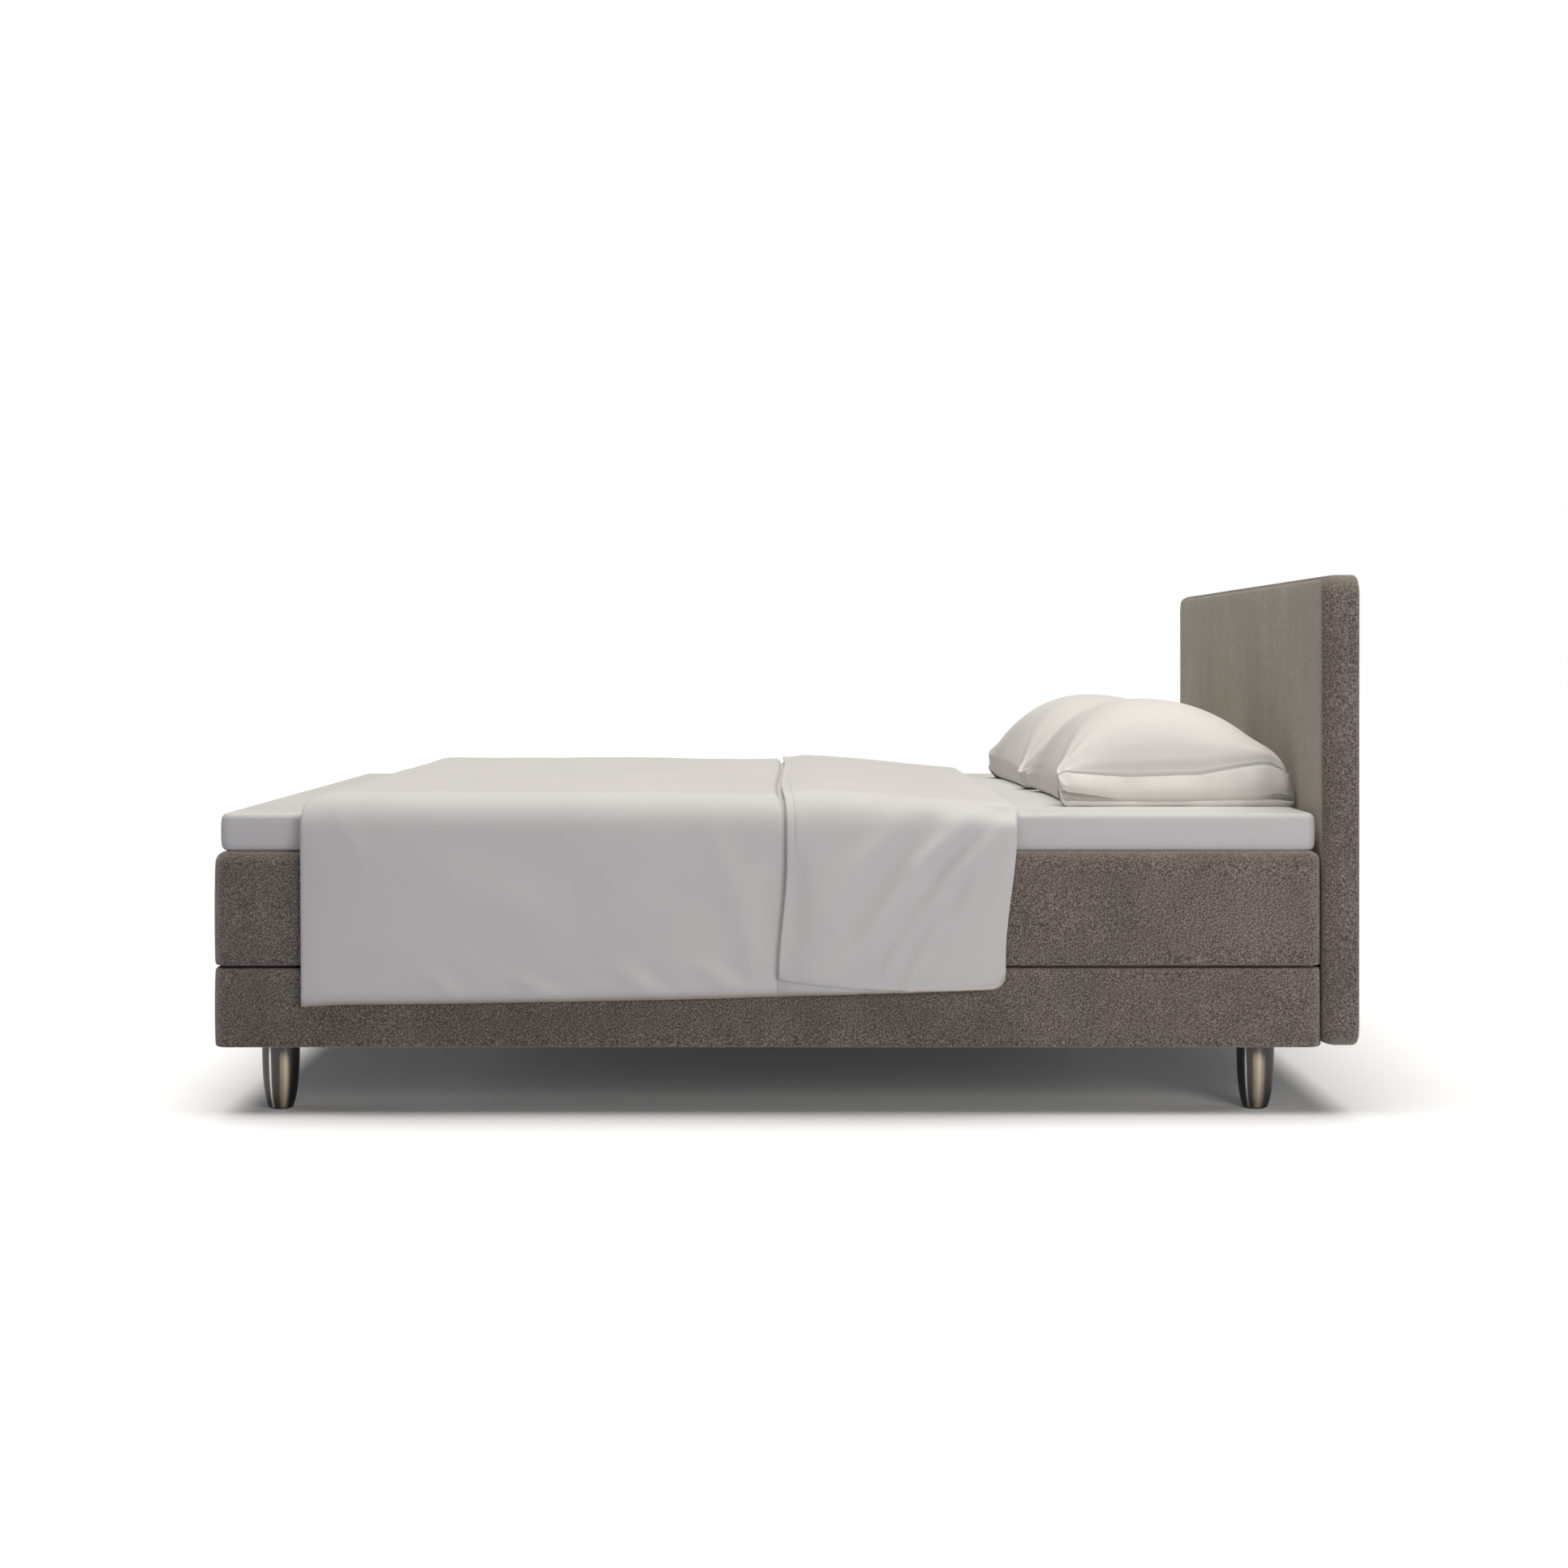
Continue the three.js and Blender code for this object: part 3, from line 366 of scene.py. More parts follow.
def bedding(name, colour, pitch, bump, sheen, roughness, patch, dotted=False, shaded_hem=False):
    """Bed linen with a slow change of shade. It is woven, or dotted where its weave stands
    in small cells, and its hem can take a painted beige shade where the mesh says so."""
    material, tree, shader = new_material(
        name, Sheen_Weight=sheen, Sheen_Roughness=0.35, Sheen_Tint=(1, 0.98, 0.94, 1),
        Specular_IOR_Level=0.08,
    )
    slow = use_tone(tree, patch)
    darker = tuple(channel * 0.96 for channel in colour)
    plain = ramp(slow, (NOISE_LOW, darker), (NOISE_HIGH, colour))
    if shaded_hem:
        plain = mix(attribute(tree, "painted_hem_shade"), plain, (*HEM_SHADE_BEIGE, 1), tree)
    feed(shader, Base_Color=plain, Roughness=spread(slow, roughness - 0.05, roughness + 0.05, 0, 1))
    if dotted:
        height = Wire(put(tree, "TexVoronoi", Vector=object_place(tree), Scale=1 / pitch), "Distance")
    else:
        height = use_weave(tree, pitch, 0.6)
    raise_surface(shader, height, bump, 0.5)
    return material


sheet_cotton = bedding("sheet_cotton", (0.63, 0.619, 0.602), 0.0011, 0.00006, 0.05, 0.62, 0.22)
duvet_cotton = bedding(
    "duvet_satin", (0.668, 0.653, 0.629), 0.0008, 0.00004, 0.04, 0.62, 0.18, shaded_hem=True,
)
pillow_cotton = bedding(
    "pillow_pique", (0.756, 0.736, 0.699), 0.003, 0.0004, 0.10, 0.72, 0.15, dotted=True,
)

# %% [markdown]
# The legs are turned on a lathe and polished as they spin. The fine rings that this leaves
# spread a reflection up and down the leg, so a lamp shows in it as an upright streak.

# %% Polished metal of the legs
leg_metal, tree, shader = new_material(
    "smoked_leg_metal", Metallic=1.0, Anisotropic=0.95, Anisotropic_Rotation=0.25,
)
smoke = use_tone(tree, 0.05, 3.0)
feed(
    shader, Roughness=spread(smoke, 0.31, 0.37, 0, 1),
    Base_Color=ramp(smoke, (NOISE_LOW, (0.19, 0.17, 0.145)), (NOISE_HIGH, (0.24, 0.22, 0.19))),
    Tangent=Wire(put(tree, "Tangent", direction_type="RADIAL", axis="Z")),
)

# %% [markdown]
# ## What is hidden inside
# Timber, board, foam, the cloth of the coil pockets, steel and black plastic are hidden
# while the bed is made. They show when a layer is lifted off, so they are finished too.

# %% Materials of the hidden pieces
def grained(name, dark, light, ring, bump, roughness):
    material, tree, shader = new_material(name, Roughness=roughness, Specular_IOR_Level=0.3)
    wood = Wire(put(tree, "Group", node_tree=grain, Ring_Width=ring, Fibre=0.5))
    feed(shader, Base_Color=ramp(wood, (0.2, dark), (1.0, light)))
    raise_surface(shader, wood, bump)
    return material


def mottled(name, dark, light, size, bump, roughness, metallic=0.0):
    material, tree, shader = new_material(name, Roughness=roughness, Metallic=metallic)
    spots = put(tree, "Group", node_tree=felt, Fleck_Size=size, Contrast=0.7)
    plain = ramp(Wire(spots, "Fleck"), (0.2, dark), (0.8, light))
    feed(shader, Base_Color=tint(plain, use_tone(tree, 0.12), 0.93, 1.05))
    raise_surface(shader, Wire(spots, "Height"), bump, 0.6)
    return material


def woven(name, dark, light, pitch, bump):
    material, tree, shader = new_material(name, Roughness=0.9, Sheen_Weight=0.15)
    feed(shader, Base_Color=ramp(use_tone(tree, 0.2), (NOISE_LOW, dark), (NOISE_HIGH, light)))
    raise_surface(shader, use_weave(tree, pitch, 1.2), bump, 0.6)
    return material


FINISHES = {
    "timber": grained("pine_timber", (0.36, 0.22, 0.11), (0.66, 0.46, 0.26), 0.014, 0.0003, 0.72),
    "board": mottled("fibre_board", (0.25, 0.16, 0.08), (0.42, 0.29, 0.16), 0.003, 0.0002, 0.85),
    "foam": mottled("cut_foam", (0.62, 0.58, 0.42), (0.74, 0.7, 0.54), 0.0012, 0.0003, 0.95),
    "spring_pockets": woven("pocket_cloth", (0.6, 0.6, 0.58), (0.7, 0.7, 0.68), 0.0018, 0.0002),
    "ticking": woven("knitted_ticking", (0.6, 0.585, 0.55), (0.69, 0.675, 0.64), 0.0024, 0.0003),
    "dust_cloth": woven(
        "black_dust_cloth", (0.012, 0.012, 0.012), (0.03, 0.029, 0.028), 0.0016, 0.0002,
    ),
    "steel": mottled("zinc_steel", (0.42, 0.43, 0.45), (0.6, 0.61, 0.62), 0.002, 0.00003, 0.38, 1.0),
    "black_plastic": mottled(
        "black_plastic", (0.012, 0.012, 0.012), (0.03, 0.03, 0.03), 0.001, 0.00005, 0.5,
    ),
    "upholstery": cover_cloth, "leg_metal": leg_metal, "sheet_cotton": sheet_cotton,
    "duvet_cotton": duvet_cotton, "pillow_cotton": pillow_cotton,
}

# %% Finish the pieces that keep their CAD shape
slot_of = {part["node"]: part["material_slot"] for part in frame["record"]["subparts"]}
for name, node in frame["nodes"].items():
    for slot in node.material_slots:
        slot.material = FINISHES[slot_of[name]]
print(len(slot_of), "nodes finished with", len(FINISHES), "materials")

# %% [markdown]
# ## Floor and sky
# The floor is white to the camera. The light that it throws back on the bed's sides is
# cooler and weaker in the photograph than a white floor gives, so the floor has a second,
# bluish colour for every ray but the camera's. The sky, too, is white to the camera alone.

# %% Floor and sky
FLOOR_BOUNCE = (0.470, 0.483, 0.56, 1)
FLOOR_DARK, FLOOR_PALE, FLOOR_GLOW = 0.955, 0.965, 0.03
SKY_COOL, SKY_STRENGTH = (0.86, 0.92, 1.0, 1), 0.06

floor_material, tree, shader = new_material(
    "studio_floor", Roughness=0.9, Specular_IOR_Level=0.0, Emission_Color=(1, 1, 1, 1),
)
pale = ramp(use_tone(tree, 2.0), (NOISE_LOW, (FLOOR_DARK,) * 3), (NOISE_HIGH, (FLOOR_PALE,) * 3))
by_camera = Wire(put(tree, "LightPath"), "Is Camera Ray")
feed(
    shader, Base_Color=mix(by_camera, FLOOR_BOUNCE, pale, tree),
    Emission_Strength=by_camera * FLOOR_GLOW,
)
bpy.ops.mesh.primitive_plane_add(size=80, location=(0, 20, 0))
floor = bpy.context.object
floor.name = "studio_floor"
floor.data.materials.append(floor_material)
light_only("lit_by_the_floor_lamps", ("floor_wash_left", "floor_wash_right"), [floor])

world = bpy.context.scene.world = bpy.data.worlds.new("studio")
world.use_nodes = True
sky = world.node_tree
sky.nodes.clear()
lit = put(sky, "Background", Color=SKY_COOL, Strength=SKY_STRENGTH)
seen = put(sky, "Background", Color=(1, 1, 1, 1))
choose = put(sky, "MixShader")
plug(choose.inputs[0], Wire(put(sky, "LightPath"), "Is Camera Ray"))
plug(choose.inputs[1], Wire(lit))
plug(choose.inputs[2], Wire(seen))
put(sky, "OutputWorld", Surface=Wire(choose))

# %% [markdown]
# ## Making skins
# The soft pieces are skins over rows of points, made with NumPy and handed to Blender in
# one go. A row follows the outline of the piece, and the rows follow its section. This is
# quicker than modelling by hand and every measure stays in the open.

# %% Skin helpers
def ease(value, start, end):
    """Rises from 0 at start to 1 at end, level at both."""
    share = np.clip((np.asarray(value, float) - start) / (end - start), 0, 1)
    return share * share * (3 - 2 * share)


def bell(value, middle, width):
    return np.exp(-((value - middle) / width) ** 2)


def ripple(points, size, seed=0.0):
    """Smooth noise from -1 to 1 at each point, with hills about as wide as size."""
    return np.array([noise.noise((x / size + seed, y / size, z / size)) for x, y, z in points])


def ripples(points, size, seed, step=1):
    """Ripples in all three directions."""
    return np.column_stack([ripple(points, size, seed + step * axis) for axis in range(3)])


def make_piece(name, points, faces, material):
    mesh = bpy.data.meshes.new(name)
    mesh.from_pydata([tuple(point) for point in points], [], [tuple(face) for face in faces])
    mesh.validate()
    mesh.update()
    piece = bpy.data.objects.new(name, mesh)
    bpy.context.scene.collection.objects.link(piece)
    mesh.materials.append(material)
    mesh.polygons.foreach_set("use_smooth", [True] * len(mesh.polygons))
    return piece


def face_outwards(piece):
    mesh = bmesh.new()
    mesh.from_mesh(piece.data)
    bmesh.ops.recalc_face_normals(mesh, faces=mesh.faces)
    mesh.to_mesh(piece.data)
    mesh.free()


def write_values(piece, name, values):
    """Puts a value on each point, which a material can read as an attribute."""
    values = np.asarray(values, np.float32).ravel()
    piece.data.attributes.new(name, "FLOAT", "POINT").data.foreach_set("value", values)


def dress(piece, body, slot, *nodes):
    """Says what the piece rides on and which nodes it stands for, and hides those. slot, the finish it
    takes, is not used.
    """
    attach(piece, body)
    if nodes:
        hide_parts(*nodes)
    print(f"{piece.name}: {len(piece.data.polygons)} faces, rides on {body}")


def ring_faces(rings, count, start_pole=None, end_pole=None):
    """Quads between rings of points, with a fan to a pole at either end."""
    faces = []
    for ring in range(rings - 1):
        for index in range(count):
            here, there = ring * count + index, ring * count + (index + 1) % count
            faces.append((here, there, there + count, here + count))
    for pole, first, turned in ((start_pole, 0, True), (end_pole, (rings - 1) * count, False)):
        if pole is not None:
            for index in range(count):
                a, b = first + index, first + (index + 1) % count
                faces.append((b, a, pole) if turned else (a, b, pole))
    return faces


def quilt_piece(name, outer, inner, shape, material, flipped=False):
    """Two grids of points and a rim between them make one closed skin."""
    total = shape[0] * shape[1]
    index = np.arange(total).reshape(shape)
    a, b = index[:-1, :-1].ravel(), index[1:, :-1].ravel()
    c, d = index[1:, 1:].ravel(), index[:-1, 1:].ravel()
    edge = np.concatenate([index[:-1, 0], index[-1, :-1], index[:0:-1, -1], index[0, :0:-1]])
    after = np.roll(edge, -1)
    faces = np.concatenate([
        np.column_stack([a, b, c, d]), np.column_stack([d, c, b, a]) + total,
        np.column_stack([after, edge, edge + total, after + total]),
    ])
    if flipped:
        faces = faces[:, ::-1]
    return make_piece(name, np.concatenate([outer, inner]), faces.tolist(), material)


def rim_distance(first, second):
    """How far each point of a grid lies from the grid's nearest border."""
    return np.minimum.reduce([
        first - first.min(), first.max() - first, second - second.min(), second.max() - second,
    ])


# %% [markdown]
# ## The upholstered boxes and the headboard
# A box is upholstered by pulling a sewn cover over padding. It keeps straight lines, but
# no side is truly flat: the padding pushes the cloth out a millimetre or two, the edges
# are round, and each upright corner has a seam that draws in a fine groove. The cover is
# one closed skin here: outside, turned in at the hem, and back along the inside.

# %% Outline and section of a soft box
SEAM_DEPTH, SEAM_REACH = 0.0011, 0.0035
UNEVEN_SIZE = 0.35


def soft_outline(length, width, corner, steps_long, steps_wide, steps_corner=14):
    """Points round a rectangle with round corners: place, outward direction, seam depth."""
    rows = []
    half_x, half_y = length / 2 - corner, width / 2 - corner
    corners = ((1, 1), (-1, 1), (-1, -1), (1, -1))
    for quarter, (sx, sy) in enumerate(corners):
        for step in range(steps_corner + 1):
            angle = (quarter + step / steps_corner) * math.pi / 2
            off_seam = abs(step / steps_corner - 0.5) * corner * math.pi / 2
            groove = SEAM_DEPTH * bell(off_seam, 0, SEAM_REACH / 2)
            rows.append((sx * half_x, sy * half_y, math.cos(angle), math.sin(angle), groove))
        next_x, next_y = corners[(quarter + 1) % 4]
        count = steps_wide if quarter % 2 else steps_long
        angle = (quarter + 1) * math.pi / 2
        for step in range(1, count):
            x = sx * half_x + (next_x - sx) * half_x * step / count
            y = sy * half_y + (next_y - sy) * half_y * step / count
            rows.append((x, y, math.cos(angle), math.sin(angle), 0.0))
    return np.array(rows)


def rounding(inset, rise, steps, upper):
    """Insets and heights from the side to the flat of an eased edge, from 0 outwards."""
    angles = [step / steps * math.pi / 2 for step in range(steps + 1)]
    pairs = [(inset * (1 - math.cos(a)), rise * (1 - math.sin(a))) for a in angles]
    return pairs if upper else pairs[::-1]


def pave(outline, height, first, start):
    """A grid inside a flat ring. Its border points are the ones the ring was pushed out from."""
    xs, ys = (np.unique(outline[:, axis].round(6)) for axis in range(2))
    grid = [(x, y) for x in xs for y in ys]
    index = {point: start + number for number, point in enumerate(grid)}
    border = [index[tuple(point)] for point in outline[:, :2].round(6)]
    faces = []
    for number, inner in enumerate(border):
        after = (number + 1) % len(border)
        ring = (first + number, first + after)
        faces.append((*ring, inner) if border[after] == inner else (*ring, border[after], inner))
    for x, next_x in zip(xs, xs[1:]):
        for y, next_y in zip(ys, ys[1:]):
            faces.append(tuple(index[p] for p in ((x, y), (next_x, y), (next_x, next_y), (x, next_y))))
    return np.array([(x, y, height) for x, y in grid]), faces


def soft_box(name, outline, corner, section, material, place, paved=True, unevenness=0.0006, seed=0.0):
    """A skin from a section of (inset, height, bulge) round an outline. Its flat ends are
    paved, or else the last ring meets the first. place turns local points into the bed's."""
    rings = []
    half = np.abs(outline[:, :2]).max(0)
    for inset, height, bulge in section:
        reach = corner - inset
        points = np.empty((len(outline), 3))
        points[:, :2] = outline[:, :2] * (half + min(reach, 0)) / half
        out = max(reach, 0) + bulge - outline[:, 4] * (inset < corner / 2)
        points[:, :2] += outline[:, 2:4] * out[:, None]
        points[:, 2] = height
        rings.append(points)
    count, last = len(outline), (len(rings) - 1) * len(outline)
    faces = ring_faces(len(rings), count)
    if paved:
        for ring in (0, len(rings) - 1):
            inside, paving = pave(outline, rings[ring][0, 2], ring * count, sum(map(len, rings)))
            rings.append(inside)
            faces += paving
    else:
        nexts = [(index + 1) % count for index in range(count)]
        faces += [(last + index, last + after, after, index) for index, after in enumerate(nexts)]
    points = place(np.concatenate(rings))
    points += unevenness * ripples(points, UNEVEN_SIZE, seed)
    piece = make_piece(name, points, faces, material)
    face_outwards(piece)
    return piece


# %% [markdown]
# The two boxes lie cloth on cloth. A gap of a millimetre stays open between them. In the gap,
# and where the boxes meet the headboard, the cloth has painted shade: darker, without sheen.

# %% Cover of the lower box
box_low, box_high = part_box("base_cover")
BOX_CORNER, CLOTH, SIDE_BULGE = 0.026, 0.006, 0.0014
LOWER_EDGE, BASE_UPPER_EDGE = 0.0065, 0.009
HEM_INSET, HEM_REACH, HEM, HEM_GAP = 0.0142, 0.032, 0.0016, 0.0006
JOINT, JOINT_REACH = 0.0012, 0.0255
# painted shade in the joints: how far it reaches from them in height, and over what depth in from the
# outline it fades out; then the same at the headboard
SHADE_RISE, MATTRESS_SHADE_RISE, SHADE_DEPTH = 0.0055, 0.0042, (0.008, 0.024)
HEADBOARD_SHADE, HEADBOARD_SHADE_DEPTH = 0.009, (0.026, 0.05)


def side_rings(bottom, top, lower, upper, rows=14, bulge=SIDE_BULGE):
    """Section of a side: an eased edge below, a slightly full side and an eased edge above."""
    rings = [(i, bottom + r, 0.0) for i, r in rounding(lower, lower, 5, False)]
    for row in range(1, rows):
        share = row / rows
        height = bottom + lower + (top - upper - bottom - lower) * share
        rings.append((0.0, height, bulge * math.sin(math.pi * share) ** 0.6))
    return rings + [(i, top - r, 0.0) for i, r in rounding(upper, upper, 7, True)]


def inner_rings(bottom, top, lower, upper):
    """Section of the inside of a cover, from its top to its bottom."""
    return [
        (upper + CLOTH, top - CLOTH, 0), (CLOTH, top - upper, 0), (CLOTH, bottom + lower, 0),
        (lower + CLOTH, bottom + CLOTH, 0),
    ]


def in_plan(points):
    return points + np.array([(box_low.x + box_high.x) / 2, 0, 0])


def paint_joint_shade(piece, height, rise):
    """Writes painted shade on each point: most in the gap at a height, and at the headboard."""
    x, y, z = np.array([vertex.co for vertex in piece.data.vertices]).T
    beside = box_high.y - np.abs(y)
    inset = np.minimum(np.minimum(box_high.x - x, x - box_low.x), beside)
    shade_in_joint = (1 - np.clip(np.abs(z - height) / rise, 0, 1)) * (1 - ease(inset, *SHADE_DEPTH))
    shade_at_headboard = 1 - np.clip((box_high.x - x) / HEADBOARD_SHADE, 0, 1)
    shade_at_headboard *= 1 - ease(beside, *HEADBOARD_SHADE_DEPTH)
    write_values(piece, "painted_joint_shade", np.maximum(shade_in_joint, shade_at_headboard))


box_outline = soft_outline(box_high.x - box_low.x, box_high.y - box_low.y, BOX_CORNER, 64, 56)
base_section = (
    inner_rings(box_low.z, box_high.z, LOWER_EDGE, BASE_UPPER_EDGE)
    + [(HEM_REACH, box_low.z + 2 * HEM, 0), (HEM_REACH, box_low.z + HEM, 0),
       (HEM_INSET, box_low.z + HEM, 0), (HEM_INSET, box_low.z + HEM_GAP, 0)]
    + side_rings(box_low.z, box_high.z - JOINT, LOWER_EDGE, BASE_UPPER_EDGE)
    + [(JOINT_REACH, box_high.z, 0)]
)
base = soft_box("lower_box_cover", box_outline, BOX_CORNER, base_section, cover_cloth, in_plan)
paint_joint_shade(base, box_high.z, SHADE_RISE)
dress(base, "bed_base", "upholstery", "base_cover")

# %% Cover of the mattress
mattress_low, mattress_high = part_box("mattress_border")
MATTRESS_UPPER_EDGE, PANEL_EDGE = 0.022, 0.034
mattress_section = (
    inner_rings(mattress_low.z, mattress_high.z, LOWER_EDGE, MATTRESS_UPPER_EDGE)
    + [(PANEL_EDGE, mattress_low.z + CLOTH, 0), (PANEL_EDGE, mattress_low.z, 0)]
    + side_rings(mattress_low.z + JOINT, mattress_high.z, LOWER_EDGE, MATTRESS_UPPER_EDGE, rows=18)
    + [(PANEL_EDGE, mattress_high.z, 0), (PANEL_EDGE, mattress_high.z - CLOTH, 0)]
)
mattress = soft_box(
    "mattress_cover", box_outline, BOX_CORNER, mattress_section, cover_cloth, in_plan,
    paved=False, seed=7.0,
)
paint_joint_shade(mattress, mattress_low.z, MATTRESS_SHADE_RISE)
dress(mattress, "mattress", "upholstery", "mattress_border")

# %% [markdown]
# The top and bottom of the mattress are panels of knitted ticking, quilted on thin
# wadding. The stitched lines draw the cloth down and leave a soft diamond between them.

# %% Quilted panels of the mattress
STITCH_DEPTH, DIAMOND, PANEL_STEP, PANEL_RIM = 0.0035, 0.16, 0.012, 0.03


def panel(name, node, upwards):
    low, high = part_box(node)
    grid_x, grid_y = np.meshgrid(*(
        np.linspace(start, end, int((end - start) / PANEL_STEP))
        for start, end in ((low.x, high.x), (low.y, high.y))
    ), indexing="ij")
    lines = [np.abs(np.sin(math.pi * (grid_x + sign * grid_y) / DIAMOND)) for sign in (1, -1)]
    puff = np.minimum(*lines) ** 0.5 * ease(rim_distance(grid_x, grid_y), 0, PANEL_RIM)
    outer, inner = (high.z, low.z) if upwards > 0 else (low.z, high.z)
    face = outer - upwards * STITCH_DEPTH * (1 - puff)
    upper = np.column_stack([grid_x.ravel(), grid_y.ravel(), face.ravel()])
    lower = upper.copy()
    lower[:, 2] = inner
    return quilt_piece(
        name, upper, lower, grid_x.shape, FINISHES["ticking"], flipped=upwards < 0,
    )


for side, upwards in (("top", 1), ("bottom", -1)):
    node = f"mattress_{side}_panel"
    piece = panel(f"quilted_{side}_panel", node, upwards)
    dress(piece, "mattress", "ticking", node)

# %% [markdown]
# The headboard is a thin box stood on its edge. Its section has a deep, soft rounding at
# the front, where the foam is, and a tight one at the back. The cloth on its face is laid
# over foam in upright pulls, which leave faint broad bands.

# %% Cover of the headboard
head_low, head_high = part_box("headboard_cover")
HEAD_CORNER, FRONT_INSET, FRONT_RISE, BACK_EDGE, BACK_TURN = 0.038, 0.014, 0.032, 0.009, 0.036
BAND, BAND_LEVEL, BAND_WIDTH, BAND_LENGTH = 0.0013, 0.3, 0.24, 0.5
head_height, head_depth = head_high.z - head_low.z, head_high.x - head_low.x
head_outline = soft_outline(head_height, head_high.y - head_low.y, HEAD_CORNER, 40, 96)
head_outline[:, 4] = 0


def stand_up(points):
    """Local x becomes height, local z runs from the back of the headboard to its front."""
    height = points[:, 0] + head_low.z + head_height / 2
    return np.column_stack([head_high.x - points[:, 2], points[:, 1], height])


head_section = (
    [(FRONT_INSET + CLOTH, head_depth - CLOTH, 0), (CLOTH, head_depth - FRONT_RISE, 0)]
    + [(CLOTH, BACK_EDGE, 0), (BACK_EDGE + CLOTH, CLOTH, 0), (BACK_TURN, CLOTH, 0), (BACK_TURN, 0, 0)]
    + [(i, r, 0.0) for i, r in rounding(BACK_EDGE, BACK_EDGE, 4, False)]
    + [(i, head_depth - r, 0.0) for i, r in rounding(FRONT_INSET, FRONT_RISE, 9, True)]
)
headboard = soft_box(
    "headboard_cloth", head_outline, HEAD_CORNER, head_section, headboard_felt, stand_up,
    unevenness=0.0005, seed=3.0,
)
for vertex in headboard.data.vertices:
    forward = head_low.x + FRONT_RISE - vertex.co.x
    if forward > 0:
        band = noise.noise((0.4, vertex.co.y / BAND_WIDTH, vertex.co.z / BAND_LENGTH))
        vertex.co.x += BAND * (band - BAND_LEVEL) * float(ease(forward, 0, FRONT_RISE))
dress(headboard, "bed_base", "upholstery", "headboard_cover")
light_only("lit_by_the_cover_lamp", ["cover_glow"], (base, mattress, headboard))

# %% [markdown]
# ## Cloth on the back and underneath
# Nobody sees the back of the headboard or the underside of the box, so both are closed
# with thin black cloth, stretched and stapled. It isn't quite flat: it sags a little
# between the staples.

# %% Stretched black cloth
SAG, SAG_SIZE, STAPLED, BLACK_STEP, BLACK_CLOTH = 0.00024, 0.2, 0.15, 0.03, (0.0002, 0.0014)


def black_panel(name, node, flat_axis, inwards, body):
    low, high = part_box(node)
    axes = [axis for axis in range(3) if axis != flat_axis]
    first, second = np.meshgrid(*(
        np.linspace(low[axis], high[axis], int((high[axis] - low[axis]) / BLACK_STEP)) for axis in axes
    ), indexing="ij")
    points = np.zeros((first.size, 3))
    points[:, axes[0]], points[:, axes[1]] = first.ravel(), second.ravel()
    sag = SAG * ease(rim_distance(first, second).ravel(), 0, STAPLED) * (1 + ripple(points, SAG_SIZE))
    outer, inner = points.copy(), points.copy()
    outside = low[flat_axis] if inwards > 0 else high[flat_axis]
    outer[:, flat_axis] = outside + inwards * (BLACK_CLOTH[0] + sag)
    inner[:, flat_axis] = outside + inwards * BLACK_CLOTH[1]
    piece = quilt_piece(name, outer, inner, first.shape, FINISHES["dust_cloth"])
    face_outwards(piece)
    dress(piece, body, "dust_cloth", node)


black_panel("underside_cloth", "dust_cover", 2, 1, "bed_base")
black_panel("headboard_back", "headboard_back_cloth", 0, -1, "bed_base")

# %% [markdown]
# ## Legs
# The legs are straight for the top half, then drawn in towards a small foot. A lathe shape
# is a profile spun round an axis, so that is how they are made, with enough sides that
# the long reflections stay smooth.

# %% Turned legs
LEG_TOP = 0.1247
# radius and height, from the glider's seat in the foot to the top
LEG_PROFILE = (
    (0.0200, 0.0050), (0.0200, 0.0015), (0.0216, 0.0018), (0.0228, 0.0032), (0.0240, 0.0070),
    (0.0269, 0.0160), (0.0291, 0.0260), (0.0306, 0.0360), (0.0318, 0.0460), (0.0328, 0.0570),
    (0.0336, 0.0700), (0.0343, 0.0840), (0.0347, 0.0980), (0.0348, 0.1120), (0.0348, 0.1236),
    (0.0348, LEG_TOP), (0.0060, LEG_TOP),
)
LEG_SIDES = 72


def turned_leg(node):
    low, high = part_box(node)
    x, y = (low.x + high.x) / 2, (low.y + high.y) / 2
    angles = [side / LEG_SIDES * math.tau for side in range(LEG_SIDES)]
    points = [
        (x + radius * math.cos(angle), y + radius * math.sin(angle), height)
        for radius, height in LEG_PROFILE for angle in angles
    ]
    points += [(x, y, LEG_PROFILE[0][1]), (x, y, LEG_PROFILE[-1][1])]
    poles = (len(points) - 2, len(points) - 1)
    return make_piece(
        f"turned_{node}", points, ring_faces(len(LEG_PROFILE), LEG_SIDES, *poles), leg_metal,
    )


legs = []
for corner in ("foot_near", "foot_far", "head_near", "head_far"):
    legs.append(turned_leg(f"leg_{corner}"))
    dress(legs[-1], "bed_base", "leg_metal", f"leg_{corner}")
light_only("lit_by_the_leg_lamps", ("leg_strip", "leg_glow"), legs)

# %% [markdown]
# ## Fitted sheet
# The topper wears a fitted sheet: elastic in its hem pulls it under, so the top and sides
# are smooth. At both ends the photograph shows it a few millimetres fuller than the topper.

